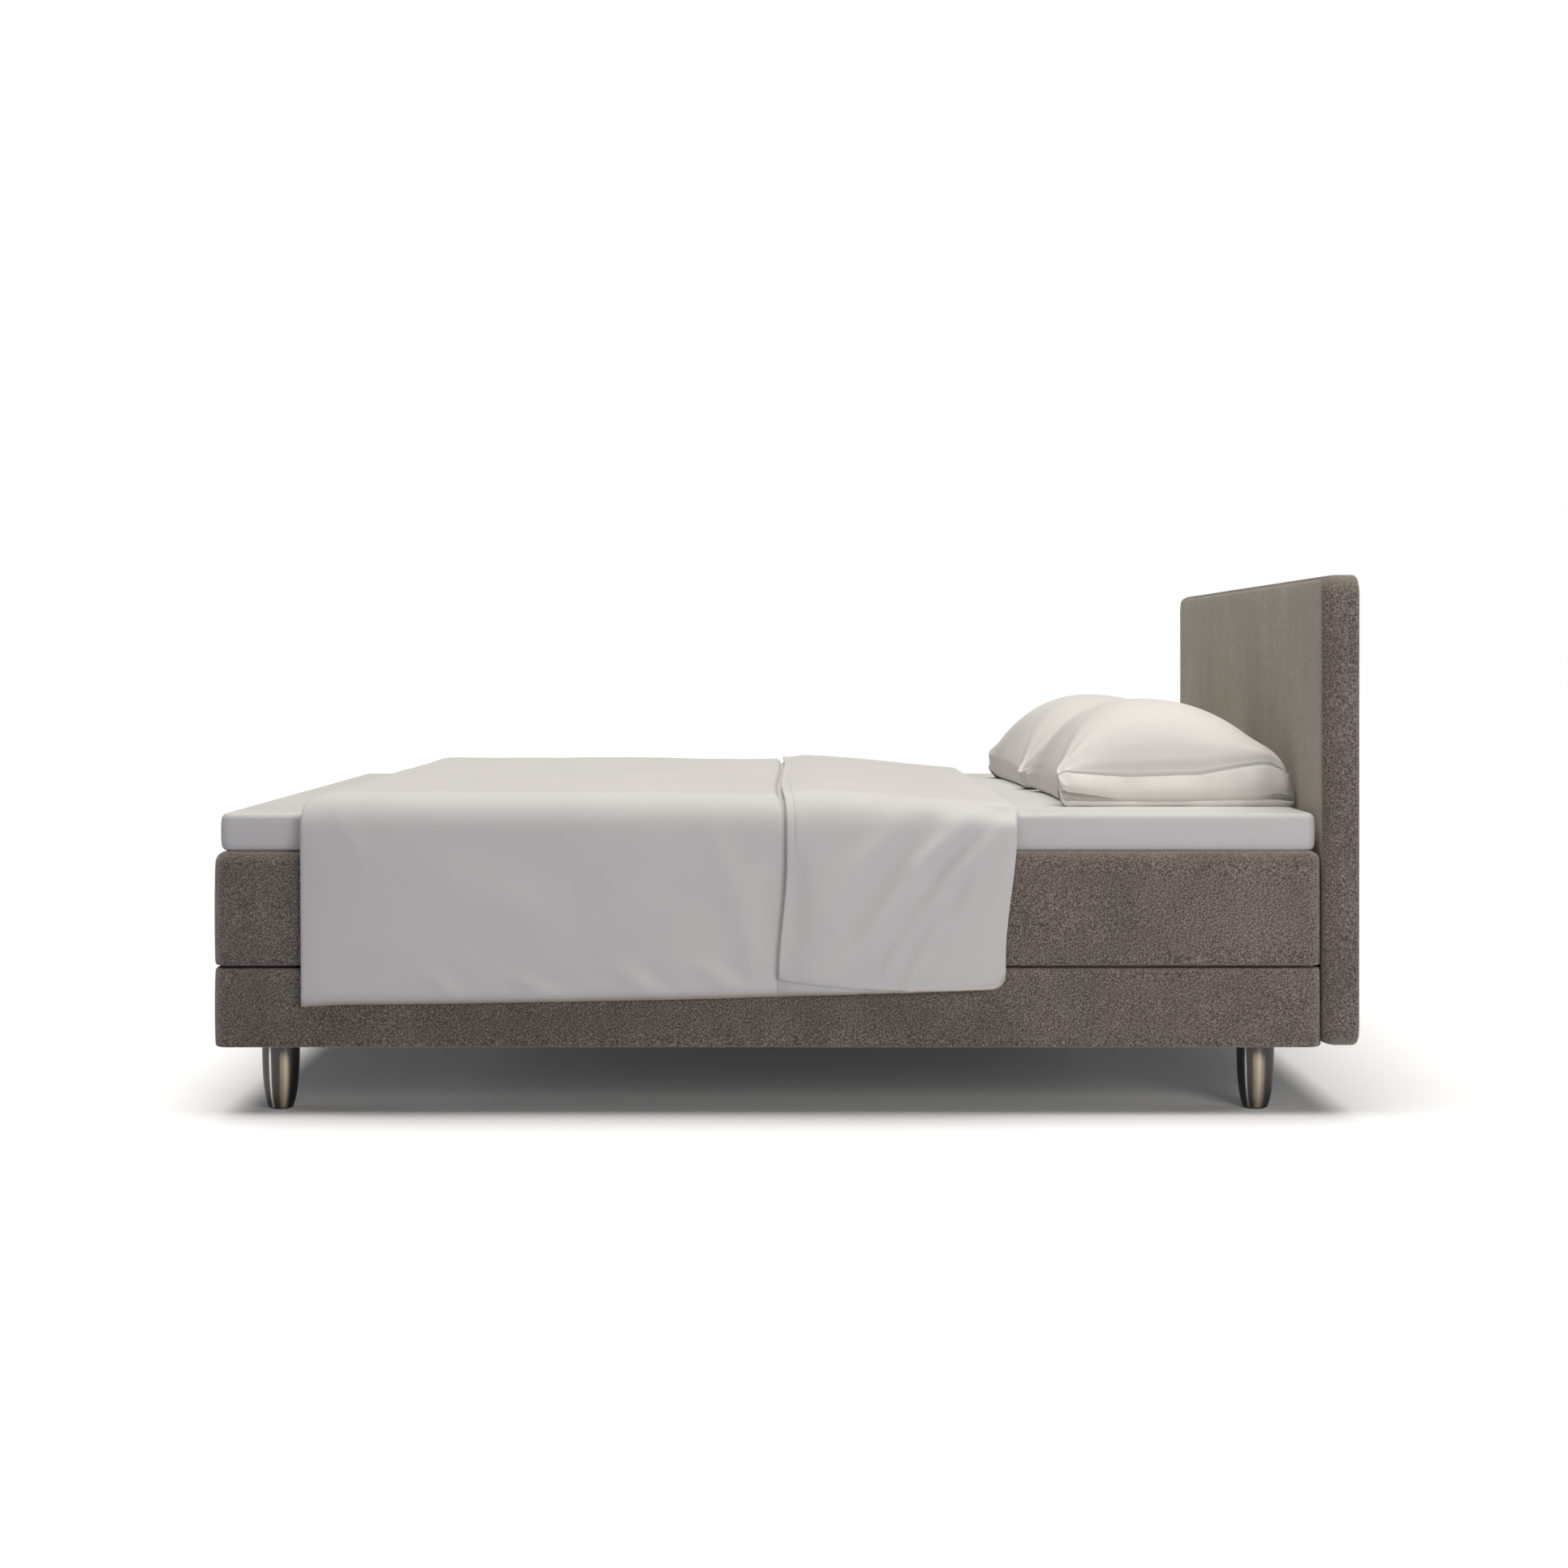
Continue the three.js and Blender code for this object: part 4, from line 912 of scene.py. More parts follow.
# %% Fitted sheet
sheet_low, sheet_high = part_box("fitted_sheet")
TOPPER_CORNER, TOPPER_EDGE, SHEET, END_FULLNESS = 0.024, 0.012, 0.0016, 0.004
SHEET_TURN, SHEET_TUCK, SHEET_GAP = 0.05, 0.09, 0.0002
sheet_outline = soft_outline(
    sheet_high.x - sheet_low.x + 2 * END_FULLNESS, sheet_high.y - sheet_low.y, TOPPER_CORNER, 90, 80,
)
sheet_outline[:, 4] = 0
sheet_sides = side_rings(sheet_low.z, sheet_high.z, TOPPER_EDGE, TOPPER_EDGE, rows=8, bulge=0.001)
middle_height = (sheet_low.z + sheet_high.z) / 2
sheet_inside = [
    (inset + SHEET, height + (SHEET if height < middle_height else -SHEET), bulge)
    for inset, height, bulge in sheet_sides[::-1]
]
sheet_tuck = [
    (inset, sheet_low.z + height, 0)
    for inset, height in ((SHEET_TURN, SHEET), (SHEET_TUCK, SHEET), (SHEET_TUCK, SHEET_GAP),
                          (SHEET_TURN, SHEET_GAP))
]
sheet = soft_box(
    "stretched_sheet", sheet_outline, TOPPER_CORNER, sheet_inside + sheet_tuck + sheet_sides,
    sheet_cotton, in_plan, unevenness=0.0003, seed=11.0,
)
dress(sheet, "topper", "sheet_cotton", "fitted_sheet")

# %% [markdown]
# ## Duvet
# The duvet is the piece that makes the bed look slept in. It is one filled cloth: it lies
# over the topper, turns down over both sides with a full, round shoulder, and its head end
# is folded back over itself. It is made as a sweep. A closed section runs along the bed,
# from the foot edge underneath to the fold at the head, back over the top, down the edge
# of the folded flap, into the crevice below it, and on to the foot. That section travels
# across the bed from hem to hem. Folds are added as ridges where the photograph has them.
# A cloth simulation would drape it too, but never twice with these same folds.

# %% Path of the duvet across the bed
duvet_low, duvet_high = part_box("duvet")
FOOT_X, HEAD_X = duvet_low.x, duvet_high.x
TOP_Z = sheet_high.z + 0.0004
FLAT_HALF = sheet_high.y - TOPPER_EDGE
HANG_Y = box_high.y + 0.0045
SHOULDER = HANG_Y - FLAT_HALF
SHOULDER_Z = TOP_Z - SHOULDER
HEM_FOOT, HEM_HEAD = duvet_low.z, 0.2335
FLAP_LENGTH = 0.43
FLAP_X = HEAD_X - FLAP_LENGTH

flat_shares = np.concatenate([np.linspace(0, 0.86, 26), np.linspace(0.89, 1, 6)])
arc_shares = np.linspace(0, 1, 11)[1:]
hang_shares = np.concatenate([np.linspace(0.03, 0.86, 26), [0.9, 0.93, 0.955, 0.975, 0.99, 1.0]])
lip_shares = [0.02, 0.25, 0.5, 0.7, 0.84, 0.94, 1.0]


def half_path():
    """Stations from the middle to a hem: place, direction out, share hung, share of the lip
    below the folded flap, and 1 on that lip."""
    stations = [(share * FLAT_HALF, TOP_Z, 0, 1, 0, 0, 0) for share in flat_shares]
    for share in arc_shares:
        out_y, out_z = math.sin(share * math.pi / 2), math.cos(share * math.pi / 2)
        stations.append(
            (FLAT_HALF + SHOULDER * out_y, SHOULDER_Z + SHOULDER * out_z, out_y, out_z, 0, 0, 0)
        )
    stations += [(HANG_Y, SHOULDER_Z, 1, 0, share, 0, 0) for share in hang_shares]
    stations += [(HANG_Y, SHOULDER_Z, 1, 0, 1, share, 1) for share in lip_shares]
    return np.array(stations, float)


half = half_path()
mirrored = half[:0:-1] * np.array([-1, 1, -1, 1, 1, 1, 1])
stations = np.vstack([mirrored, half])
print(len(stations), "stations from hem to hem")

# %% Thickness of the duvet
LOFT, HANGING_LOFT, FOOT_LOFT, FOOT_ROUND = 0.0385, 0.0215, 0.008, 0.075
SUNK, SUNK_REACH = 0.003, 0.25
# height, how far before the flap's edge, and half width
ROLL, VALLEY, GROOVE = (0.0035, 0.062, 0.028), (0.0125, 0.007, 0.021), (0.013, 0.0045, 0.0055)
FLAP_LOFT, HANGING_FLAP_LOFT, DROOP = 0.0445, 0.031, 0.010
# share of the flap's thickness at a distance from the fold
FLAP_SLOPE = ((0, 0.24), (0.006, 0.32), (0.02, 0.37), (0.06, 0.46), (0.12, 0.56), (0.18, 0.67),
              (0.25, 0.83), (0.32, 0.95), (0.38, 0.99), (0.43, 1))


def by_the_flap(x, form):
    height, before, width = form
    return height * bell(x, FLAP_X - before, width)


def lower_loft(x, side, hung):
    """Thickness of the single layer: less on the hanging sides and at the foot edge, with a
    valley along the flap where the cloth is pulled in."""
    full = LOFT - SUNK * ease(x, FLAP_X - SUNK_REACH, FLAP_X)
    full = full * (1 - side) + HANGING_LOFT * side
    pulled = by_the_flap(x, ROLL) - by_the_flap(x, VALLEY)
    full = full + pulled * side * ease(hung, 0.02, 0.4) * (1 - 0.45 * ease(hung, 0.45, 1))
    full = full - by_the_flap(x, GROOVE) * ease(FLAP_X - x, 0.0, 0.003) * (1 - 0.85 * side)
    foot = np.sqrt(np.clip(1 - (1 - np.clip((x - FOOT_X) / FOOT_ROUND, 0, 1)) ** 2, 0, 1))
    return FOOT_LOFT + (full - FOOT_LOFT) * foot


def flap_loft(x, side):
    """Thickness where the folded end lies on top, with a long slope to the fold."""
    slope = np.interp(np.clip(HEAD_X - x, 0, None), *zip(*FLAP_SLOPE))
    droop = DROOP * 4 * side * (1 - side) * ease(x, HEAD_X - 0.18, HEAD_X - 0.01)
    return (FLAP_LOFT * (1 - side) + HANGING_FLAP_LOFT * side) * slope - droop


# %% Section of the duvet along the bed
UNDER, FOLD, FLAP, EDGE, CREVICE, LOWER, RIM = range(7)
flap_steps = np.concatenate([
    np.linspace(0.0, 0.0115, 5), [0.0126, 0.0138, 0.015, 0.018, 0.024, 0.032, 0.042],
    np.linspace(0.055, 0.33, 26), np.linspace(0.34, 0.415, 10), [0.42, 0.425, 0.428],
])
lower_steps = np.concatenate([
    [0.003, 0.007, 0.010, 0.014, 0.02, 0.028, 0.038, 0.05, 0.064, 0.08],
    np.linspace(0.095, FLAP_X - FOOT_X - 0.07, 62),
    FLAP_X - FOOT_X - np.array([0.06, 0.05, 0.041, 0.033, 0.026, 0.02, 0.015, 0.01, 0.0055]),
])
# the closed section as rows of (kind, x, height over its reference)
section = np.array([
    (UNDER, FOOT_X + 0.004, 0.0),
    *((UNDER, x, 0.0) for x in np.linspace(FOOT_X + 0.03, HEAD_X - 0.02, 54)),
    (FOLD, HEAD_X - 0.006, 0.0), (FOLD, HEAD_X - 0.002, 0.0012),
    (FOLD, HEAD_X, 0.0045), (FOLD, HEAD_X - 0.0006, 0.0085),
    *((FLAP, FLAP_X + step, 0.0) for step in flap_steps[::-1]),
    (EDGE, FLAP_X - 0.0011, 0.66), (EDGE, FLAP_X - 0.0008, 0.3),
    (CREVICE, FLAP_X + 0.004, 0.0009), (CREVICE, FLAP_X + 0.016, 0.0007),
    (CREVICE, FLAP_X + 0.019, 0.0), (CREVICE, FLAP_X + 0.010, -0.0005),
    (LOWER, FLAP_X - 0.0045, 0.0),
    *((LOWER, FOOT_X + step, 0.0) for step in lower_steps[::-1]),
    (RIM, FOOT_X + 0.0006, 0.0062), (RIM, FOOT_X, 0.004), (RIM, FOOT_X + 0.001, 0.0015),
])
kind, section_x, detail = section.T
behind_edge = np.isin(kind, (EDGE, CREVICE))
print(len(section), "points in the section")

# %% Hems and slanting edges
HEM_CORNER, HEM_RISE, HEM_DIP, DIP_REACH, HEM_CURVE = 0.028, 0.004, 0.004, 0.05, 1.7
# distance from the flap's edge, and how far its hem stays above the hem of the layer below
FLAP_LIP = ((0, 0.033), (0.07, 0.021), (0.14, 0.012), (0.24, 0.0045), (0.34, 0.0035), (0.43, 0.0045))


def lower_hem(x):
    along = (x - FOOT_X) / (HEAD_X - FOOT_X)
    into_corner = np.clip((x - HEAD_X + HEM_CORNER) / HEM_CORNER, 0, 0.995)
    rounded = HEM_CORNER * (1 - np.sqrt(1 - into_corner ** 2))
    start = HEM_FOOT + HEM_RISE
    return start - HEM_DIP * bell(x, FOOT_X, DIP_REACH) + (HEM_HEAD - start) * along ** HEM_CURVE + rounded


def lip_height(x):
    return np.interp(x - FLAP_X, *zip(*FLAP_LIP))


# how far an edge leans along the bed, in metres: hanging, turning down and on the top
FOLD_HANGS, FOLD_TURNS, FOLD_LEANS_FROM = 0.021, 0.004, 0.1
FOOT_HANGS, FOOT_LEANS = 0.0015, 0.004
FLAP_HANGS, FLAP_TURNS, FLAP_WAVE, FLAP_WAVES, FLAP_REACH = 0.015, 0.006, 0.004, 3.1, 0.09


def edge_slant(x, y, hung, side):
    """How far the edges of the duvet lean, most at the folded end and at the flap's edge."""
    head = -FOLD_HANGS * ease(x, FLAP_X + FOLD_LEANS_FROM, HEAD_X) * ease(hung, 0, 0.9)
    head = head - FOLD_TURNS * ease(x, FLAP_X, HEAD_X) * side
    foot = (FOOT_HANGS * hung - FOOT_LEANS) * (1 - ease(x, FOOT_X, FLAP_X))
    flap = FLAP_TURNS * side - FLAP_HANGS * ease(hung, 0.2, 1)
    flap = flap + FLAP_WAVE * np.sin(FLAP_WAVES * y) * (1 - side)
    return head + foot + flap * bell(x, FLAP_X, FLAP_REACH)


# %% [markdown]
# The folds are measured on the photograph in the plane of the hanging side: each is a
# short line of (x, z) points, a width and a height. A ridge is a rounded wave across that
# line that dies away at both ends. The far side gets the same folds, shifted and weaker.

# %% Folds of the duvet
# height and half width, then points from upper end to lower end
RIDGES = (
    (0.0130, 0.028, ((0.234, 0.560), (0.136, 0.460), (0.085, 0.378), (0.040, 0.280))),
    (0.0165, 0.023, ((0.340, 0.548), (0.244, 0.463), (0.192, 0.378), (0.126, 0.293), (0.085, 0.240))),
    (0.0140, 0.018, ((0.362, 0.510), (0.281, 0.396), (0.222, 0.322), (0.165, 0.240))),
    (0.0095, 0.013, ((0.306, 0.370), (0.262, 0.300), (0.215, 0.205))),
    (0.0070, 0.014, ((0.376, 0.520), (0.352, 0.420), (0.318, 0.340))),
    (0.0085, 0.011, ((0.206, 0.350), (0.160, 0.290), (0.112, 0.212))),
    (0.0030, 0.020, ((-0.150, 0.560), (-0.106, 0.440), (-0.077, 0.345), (-0.050, 0.270))),
    (0.0016, 0.040, ((-0.760, 0.520), (-0.560, 0.420), (-0.420, 0.330))),
    (0.0026, 0.045, ((-0.240, 0.560), (-0.300, 0.430), (-0.340, 0.300))),
    (0.0026, 0.016, ((-0.812, 0.560), (-0.790, 0.510), (-0.772, 0.470))),
    (0.0032, 0.016, ((-0.490, 0.262), (-0.455, 0.235), (-0.425, 0.212))),
    (0.0036, 0.016, ((-0.300, 0.275), (-0.262, 0.240), (-0.232, 0.214))),
    (0.0034, 0.018, ((-0.150, 0.282), (-0.112, 0.245), (-0.085, 0.216))),
    (0.0028, 0.015, ((-0.650, 0.270), (-0.620, 0.238), (-0.596, 0.212))),
)
FADE, TROUGH, TROUGH_PLACE = 0.3, 0.45, 1.9
FAR_SHIFT, FAR_SHARE = 0.035, 0.8


def ridge_height(x, z, ridge, shift):
    height, width, line = ridge
    xs, zs = np.array(line[::-1]).T
    slope = np.gradient(xs, zs).mean()
    across = (x - np.interp(z, zs, xs) - shift) / math.sqrt(1 + slope * slope)
    margin = (zs[-1] - zs[0]) * FADE
    fade = ease(z, zs[0] - margin, zs[0] + margin) * (1 - ease(z, zs[-1] - margin, zs[-1] + margin))
    return height * (bell(across, 0, width) - TROUGH * bell(across, TROUGH_PLACE * width, width)) * fade


def side_folds(x, z, near):
    shift, share = (0.0, 1.0) if near else (FAR_SHIFT, FAR_SHARE)
    return share * sum(ridge_height(x, z, ridge, shift) for ridge in RIDGES)


# %% Shape the duvet
# the painted hem shade is full up to the core height over the hem and gone at the width
HEM_SHADE_WIDTH, HEM_SHADE_CORE = 0.0125, 0.004
# the flap's edge is a thin flange with a line of stitches, and the filling starts behind it
FLANGE, HANGING_FLANGE, FLANGE_END, FILLED_AT, LEAST_FLAP = 0.0046, 0.0105, 0.013, 0.055, 0.004
STITCH_LINE, STITCH_WIDTH, STITCH_PULL, STITCHED = 0.0132, 0.0016, 0.0022, 0.25
# near its hem the flap thins towards the layer below, whose lip turns in and calms down
THINS_FROM, FLAP_STEP = 0.955, 0.0062
LIP_TURNS_FROM, LIP_LEFT, LIP_CALM, LIP_STEP = 0.45, 0.06, 0.4, 0.0006
# height, place and half width of the bead along the foot edge
FOOT_BEAD = (0.0009, 0.0045, 0.003)
# hills of the filling as (size, seed, height), and long waves on the hanging sides
HILLS = ((0.28, 5.0, 0.0038), (0.085, 9.0, 0.0015))
WAVE, WAVE_DIP, WAVES_ALONG, WAVES_SLOW, WAVE_START = 0.0022, 0.001, 17, 6.1, 1.3
CALM_FOOT, CALM_HEAD, LEAST_LOFT = 0.06, 0.05, 0.003


def duvet_points():
    """The points of the duvet, a row for each station, and how much painted hem shade each takes."""
    y0, z0, out_y, out_z, hung, lip, on_lip = (column[:, None] for column in stations.T)
    side = np.abs(out_y)
    hem, lip_rise = lower_hem(section_x)[None, :], lip_height(section_x)[None, :]
    z0 = z0 - hung * (SHOULDER_Z - hem - lip_rise) - lip * lip_rise
    order = np.cumsum(behind_edge) * behind_edge
    lip_x = np.where(behind_edge, FLAP_X - LIP_STEP * order, section_x)
    base_x = np.where(on_lip > 0, lip_x[None, :], section_x[None, :])
    x = base_x + edge_slant(base_x, y0, hung, side)

    lower = lower_loft(base_x, side, hung)
    at_edge = lower_loft(np.full_like(base_x, FLAP_X), side, hung)
    flange_rise = FLANGE * (1 - side) + HANGING_FLANGE * side
    flange = at_edge + flange_rise
    beyond = ease(base_x, FLAP_X + FLANGE_END, FLAP_X + FILLED_AT)
    flap = flange + (flap_loft(base_x, side) - flange) * beyond
    stitches = bell(base_x, FLAP_X + STITCH_LINE, STITCH_WIDTH) * (1 - ease(hung, 0, STITCHED))
    flap = np.maximum(flap, LEAST_FLAP) - STITCH_PULL * stitches
    flap_end = np.clip((hung - THINS_FROM) / (1 - THINS_FROM), 0, 1) ** 2
    flap = flap + (np.minimum(flap, lower + FLAP_STEP) - flap) * flap_end
    level, (bead, bead_place, bead_width) = 0 * z0, FOOT_BEAD
    shapes = {
        UNDER: level, FOLD: detail + level, RIM: detail + level,
        FLAP: np.where(on_lip > 0, lower, flap),
        EDGE: np.where(on_lip > 0, lower, at_edge + detail * flange_rise),
        CREVICE: np.where(on_lip > 0, lower, at_edge + detail),
        LOWER: lower + bead * bell(base_x, FOOT_X + bead_place, bead_width),
    }
    out = sum(np.where((kind == label)[None, :], shape, 0) for label, shape in shapes.items())
    raised = ~np.isin(kind, (UNDER, FOLD, RIM))[None, :]
    turned = np.clip(lip - LIP_TURNS_FROM, 0, 1) / (1 - LIP_TURNS_FROM)
    out = np.where(raised, out * np.sqrt(np.clip(1 - turned ** 2, LIP_LEFT, 1)), out)

    grid = np.stack([x, y0 + 0 * x, z0], axis=-1).reshape(-1, 3)
    soft = sum(ripple(grid, size, seed) * height for size, seed, height in HILLS)
    folds = np.where(out_y < 0, side_folds(base_x, z0, True), side_folds(base_x, z0, False)) * side
    wave = WAVE * ease(hung, 0.3, 1.0) * np.sin(WAVES_ALONG * base_x + WAVE_START)
    wave = wave * np.sin(WAVES_SLOW * base_x + np.sign(out_y))
    away = ease(base_x, FOOT_X, FOOT_X + CALM_FOOT) * (1 - ease(base_x, HEAD_X - CALM_HEAD, HEAD_X))
    uneven = (soft.reshape(z0.shape) + folds) * away * (1 - LIP_CALM * lip)
    uneven = uneven + np.maximum(wave, -WAVE_DIP) * side
    out = out + np.where(kind == UNDER, 0.0, 1.0) * uneven
    out = np.where(raised, np.maximum(out, LEAST_LOFT), out)
    # painted beige shade on the lowest centimetre of the hem's lip
    painted_hem_shade = on_lip * np.clip((HEM_SHADE_WIDTH - (z0 - hem)) / (HEM_SHADE_WIDTH - HEM_SHADE_CORE), 0, 1)
    return np.stack([x, y0 + out * out_y, z0 + out * out_z], axis=-1), painted_hem_shade


points, painted_hem_shade = duvet_points()
rows, columns, _ = points.shape
index = np.arange(rows * columns).reshape(rows, columns)
after = np.roll(index, -1, axis=1)
faces = np.stack([index[:-1], after[:-1], after[1:], index[1:]], axis=-1).reshape(-1, 4).tolist()

# %% [markdown]
# Both hems are closed by lacing the under side to the outer side, as a zip closes: at each
# step the side that is behind moves one point on, and that makes one triangle. The lowest
# centimetre of the hem's lip takes a beige painted shade, for warm light thrown up from the cover.

# %% Close the hems
def lace(row):
    under = [k for k in range(columns) if kind[k] == UNDER]
    outer = list(range(columns - 1, under[-1], -1))
    first, second, closed = 0, 0, []
    while first < len(under) - 1 or second < len(outer) - 1:
        ahead = [
            points[row, line[at + 1], 0] if at + 1 < len(line) else math.inf
            for line, at in ((under, first), (outer, second))
        ]
        corners = [under[first], outer[second]]
        if ahead[0] <= ahead[1]:
            first += 1
            corners.append(under[first])
        else:
            second += 1
            corners.append(outer[second])
        closed.append(tuple(row * columns + corner for corner in corners))
    return closed


faces += lace(0) + lace(rows - 1)
duvet = make_piece("draped_duvet", points.reshape(-1, 3), faces, duvet_cotton)
face_outwards(duvet)
write_values(duvet, "painted_hem_shade", painted_hem_shade)
dress(duvet, "duvet", "duvet_cotton", "duvet")

# %% [markdown]
# ## Pillows
# A filled case is full in the middle and thin at its seams, and the seams are drawn in
# between the corners. That much is a formula. What a formula misses is the tension: cloth
# has a little more area than the filling needs, so it buckles near the seams and corners.
# Blender's cloth finds those buckles. It blows up a coarse copy with a few per cent of
# extra cloth, and the shift of each point is passed on to the fine pillow.

# %% Form of a filled case
pillow_low, pillow_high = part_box("pillow_near")
CASE = np.array([pillow_high.x - pillow_low.x, pillow_high.y - pillow_low.y]) / 2
CASE_MIDDLE = np.array([pillow_low.x + CASE[0], pillow_low.y + CASE[1]])
CASE_LOFT = pillow_high.z - pillow_low.z
BOTTOM = pillow_low.z + 0.0002
SEAM_RISE, SEAM_SWAY, RIM_HALF = 0.044, 0.006, 0.0025
DRAW_IN, LEAN, UNDER_TURN, HEAD_GATHER, POCKET_DEPTH = 0.016, 0.086, 0.034, 0.010, 0.022
# the higher the power, the squarer the corners
FOOT_SQUARENESS, HEAD_SQUARENESS = 16, 26
# place along the near end, and how high the seam runs there
NEAR_SEAM = ((-1.05, 0.062), (-0.76, 0.056), (-0.3, 0.052), (0.2, 0.055), (0.5, 0.068),
             (0.75, 0.078), (0.9, 0.072), (1.0, 0.06))


def fullness(place, flatness, roundness):
    return np.maximum(0, 1 - np.abs(place) ** flatness) ** roundness


def turned_up(from_side, from_end):
    """How far the under side has risen to the seam, 0 to 1, by the quarter round there."""
    turned = np.clip(np.minimum(from_side, from_end) / UNDER_TURN, 0, 1)
    return 1 - np.sqrt(1 - (1 - turned) ** 2)


def case_point(u, v, upper, roundness):
    """A point of the case. u runs from the foot side to the head side, v from the near end
    to the far end, both from -1 to 1."""
    across, along = fullness(u + LEAN * (1 - u * u), 2.2, roundness), fullness(v, 3.4, 0.66)
    end, side = u ** 4, v ** 4
    widest = np.maximum(np.abs(u), np.abs(v)) + 1e-9
    power = FOOT_SQUARENESS + (HEAD_SQUARENESS - FOOT_SQUARENESS) * ease(u, -0.3, 0.3)
    corner = widest / (np.abs(u) ** power + np.abs(v) ** power + 1e-9) ** (1 / power)
    corner = 1 - (1 - corner) * ease(widest, 0.55, 1)
    at_near_end = ease(-v, 0.55, 1.0)
    x = CASE_MIDDLE[0] + u * corner * (CASE[0] - DRAW_IN * (1 - side) * end)
    x -= HEAD_GATHER * ease(u, 0.7, 1.0) * ease(-v, 0.8, 1.0)
    y = CASE_MIDDLE[1] + v * corner * (CASE[1] - DRAW_IN * (1 - end) * side)
    y += POCKET_DEPTH * fullness(u, 8, 0.5) * at_near_end
    seam = SEAM_RISE + SEAM_SWAY * np.sin(3 * u + 1) * np.sin(2.3 * v)
    seam = BOTTOM + seam + (np.interp(u, *zip(*NEAR_SEAM)) - seam) * at_near_end
    if upper:
        z = seam + RIM_HALF + (BOTTOM + CASE_LOFT - seam - 2 * RIM_HALF) * across * along
    else:
        from_end = np.where(v < 0, CASE[1], (1 - np.abs(v)) * CASE[1])
        z = BOTTOM + (seam - RIM_HALF - BOTTOM) * turned_up((1 - np.abs(u)) * CASE[0], from_end)
    return np.stack([x, y, np.maximum(z, BOTTOM)], axis=-1)


# %% Blow up a coarse copy
COARSE_STEPS = (37, 53)
EXTRA_CLOTH, BUCKLE_LIMIT, CLOTH_FRAMES = 0.05, 0.011, 20
START_RIPPLE, START_SIZE = 0.0015, 0.05
CLOTH_SETTINGS = {
    "quality": 6, "mass": 0.2, "tension_stiffness": 20, "compression_stiffness": 20,
    "shear_stiffness": 6, "bending_stiffness": 0.06, "shrink_min": -EXTRA_CLOTH,
    "use_pressure": True, "uniform_pressure_force": 4,
}
PASSED_TO, PASS_REACH, FREE_HEIGHT = 10, 0.014, 0.02


def buckled(seed, roundness):
    """Coarse points of the case, and how far Blender's cloth moves each of them."""
    u, v = np.meshgrid(*(np.linspace(-1, 1, steps) for steps in COARSE_STEPS), indexing="ij")
    layers = [case_point(u, v, upper, roundness).reshape(-1, 3) for upper in (True, False)]
    start = np.concatenate(layers)
    start += START_RIPPLE * ripples(start, START_SIZE, seed)
    form = quilt_piece("case_form", start[: u.size], start[u.size:], u.shape, pillow_cotton)
    cloth = form.modifiers.new("filling", "CLOTH")
    for setting, value in CLOTH_SETTINGS.items():
        setattr(cloth.settings, setting, value)
    cloth.settings.effector_weights.gravity = 0
    cloth.point_cache.frame_end = CLOTH_FRAMES
    for number in range(1, CLOTH_FRAMES + 1):
        bpy.context.scene.frame_set(number)
    settled = form.evaluated_get(bpy.context.evaluated_depsgraph_get()).data
    shift = np.array([vertex.co for vertex in settled.vertices]) - start
    bpy.context.scene.frame_set(1)
    bpy.data.objects.remove(form)
    shift -= np.median(shift, axis=0)
    reach = np.linalg.norm(shift, axis=1, keepdims=True)
    return start, shift * np.minimum(1, BUCKLE_LIMIT / np.maximum(reach, 1e-9))


def pass_on(start, shift, surfaces):
    """Moves fine points as the coarse ones around them moved, and less near the sheet."""
    tree = KDTree(len(start))
    for number, point in enumerate(start):
        tree.insert(point, number)
    tree.balance()
    for surface in surfaces:
        flat = surface.reshape(-1, 3)
        for number, point in enumerate(flat):
            near = tree.find_n(point, PASSED_TO)
            weights = np.array([math.exp(-((distance / PASS_REACH) ** 2)) + 1e-6 for *_, distance in near])
            moved = (shift[[k for _, k, _ in near]] * weights[:, None]).sum(0) / weights.sum()
            flat[number] += moved * min(1, (point[2] - BOTTOM) / FREE_HEIGHT)


# %% [markdown]
# The near end of the case is where it is filled and closed, and the photograph shows it
# well: a seam runs across it, below the seam hangs the pocket of the case, and under that
# its mouth, a slit over a flat strip of cloth that lies on the sheet. At the foot corner
# the pocket rises to the seam, and at the head corner its filling pushes it out.

# %% Near end of the case
# height over the sheet where the pocket is 5 cm high, and how far it stands out
MOUTH = ((0.0, 0.0225), (0.0040, 0.0240), (0.0068, 0.0232), (0.0078, 0.0205), (0.0084, 0.0105),
         (0.0108, 0.0105), (0.0115, 0.0195), (0.0132, 0.0228), (0.020, 0.0240), (0.027, 0.0215),
         (0.034, 0.0170), (0.041, 0.0112), (0.0455, 0.0066), (0.0478, 0.0022), (0.0488, 0.0012),
         (0.0494, 0.0022), (0.050, 0.0034))
SLIT, LIP = (0.0080, 0.0112), 0.0100
SLIT_CLOSING, SLIT_DEPTH, END_RISE, HEAD_FILL = 0.008, 0.110, 0.93, 0.013
# the mouth gapes this much in the middle, and opens into a wedge near both of its ends
MIDDLE_GAPE, FOOT_WEDGE, HEAD_WEDGE = 0.3, 0.20, 0.13
LONG_SWAY, SHORT_SWAY = (0.0035, 9.5), (0.002, 23)
CRUMPLE, CRUMPLE_SIZE = 0.015, 0.023
STRIP_OUT, STRIP_IN, END_PULL, STRIP_PULL = 0.0218, 0.02, 0.004, 0.006


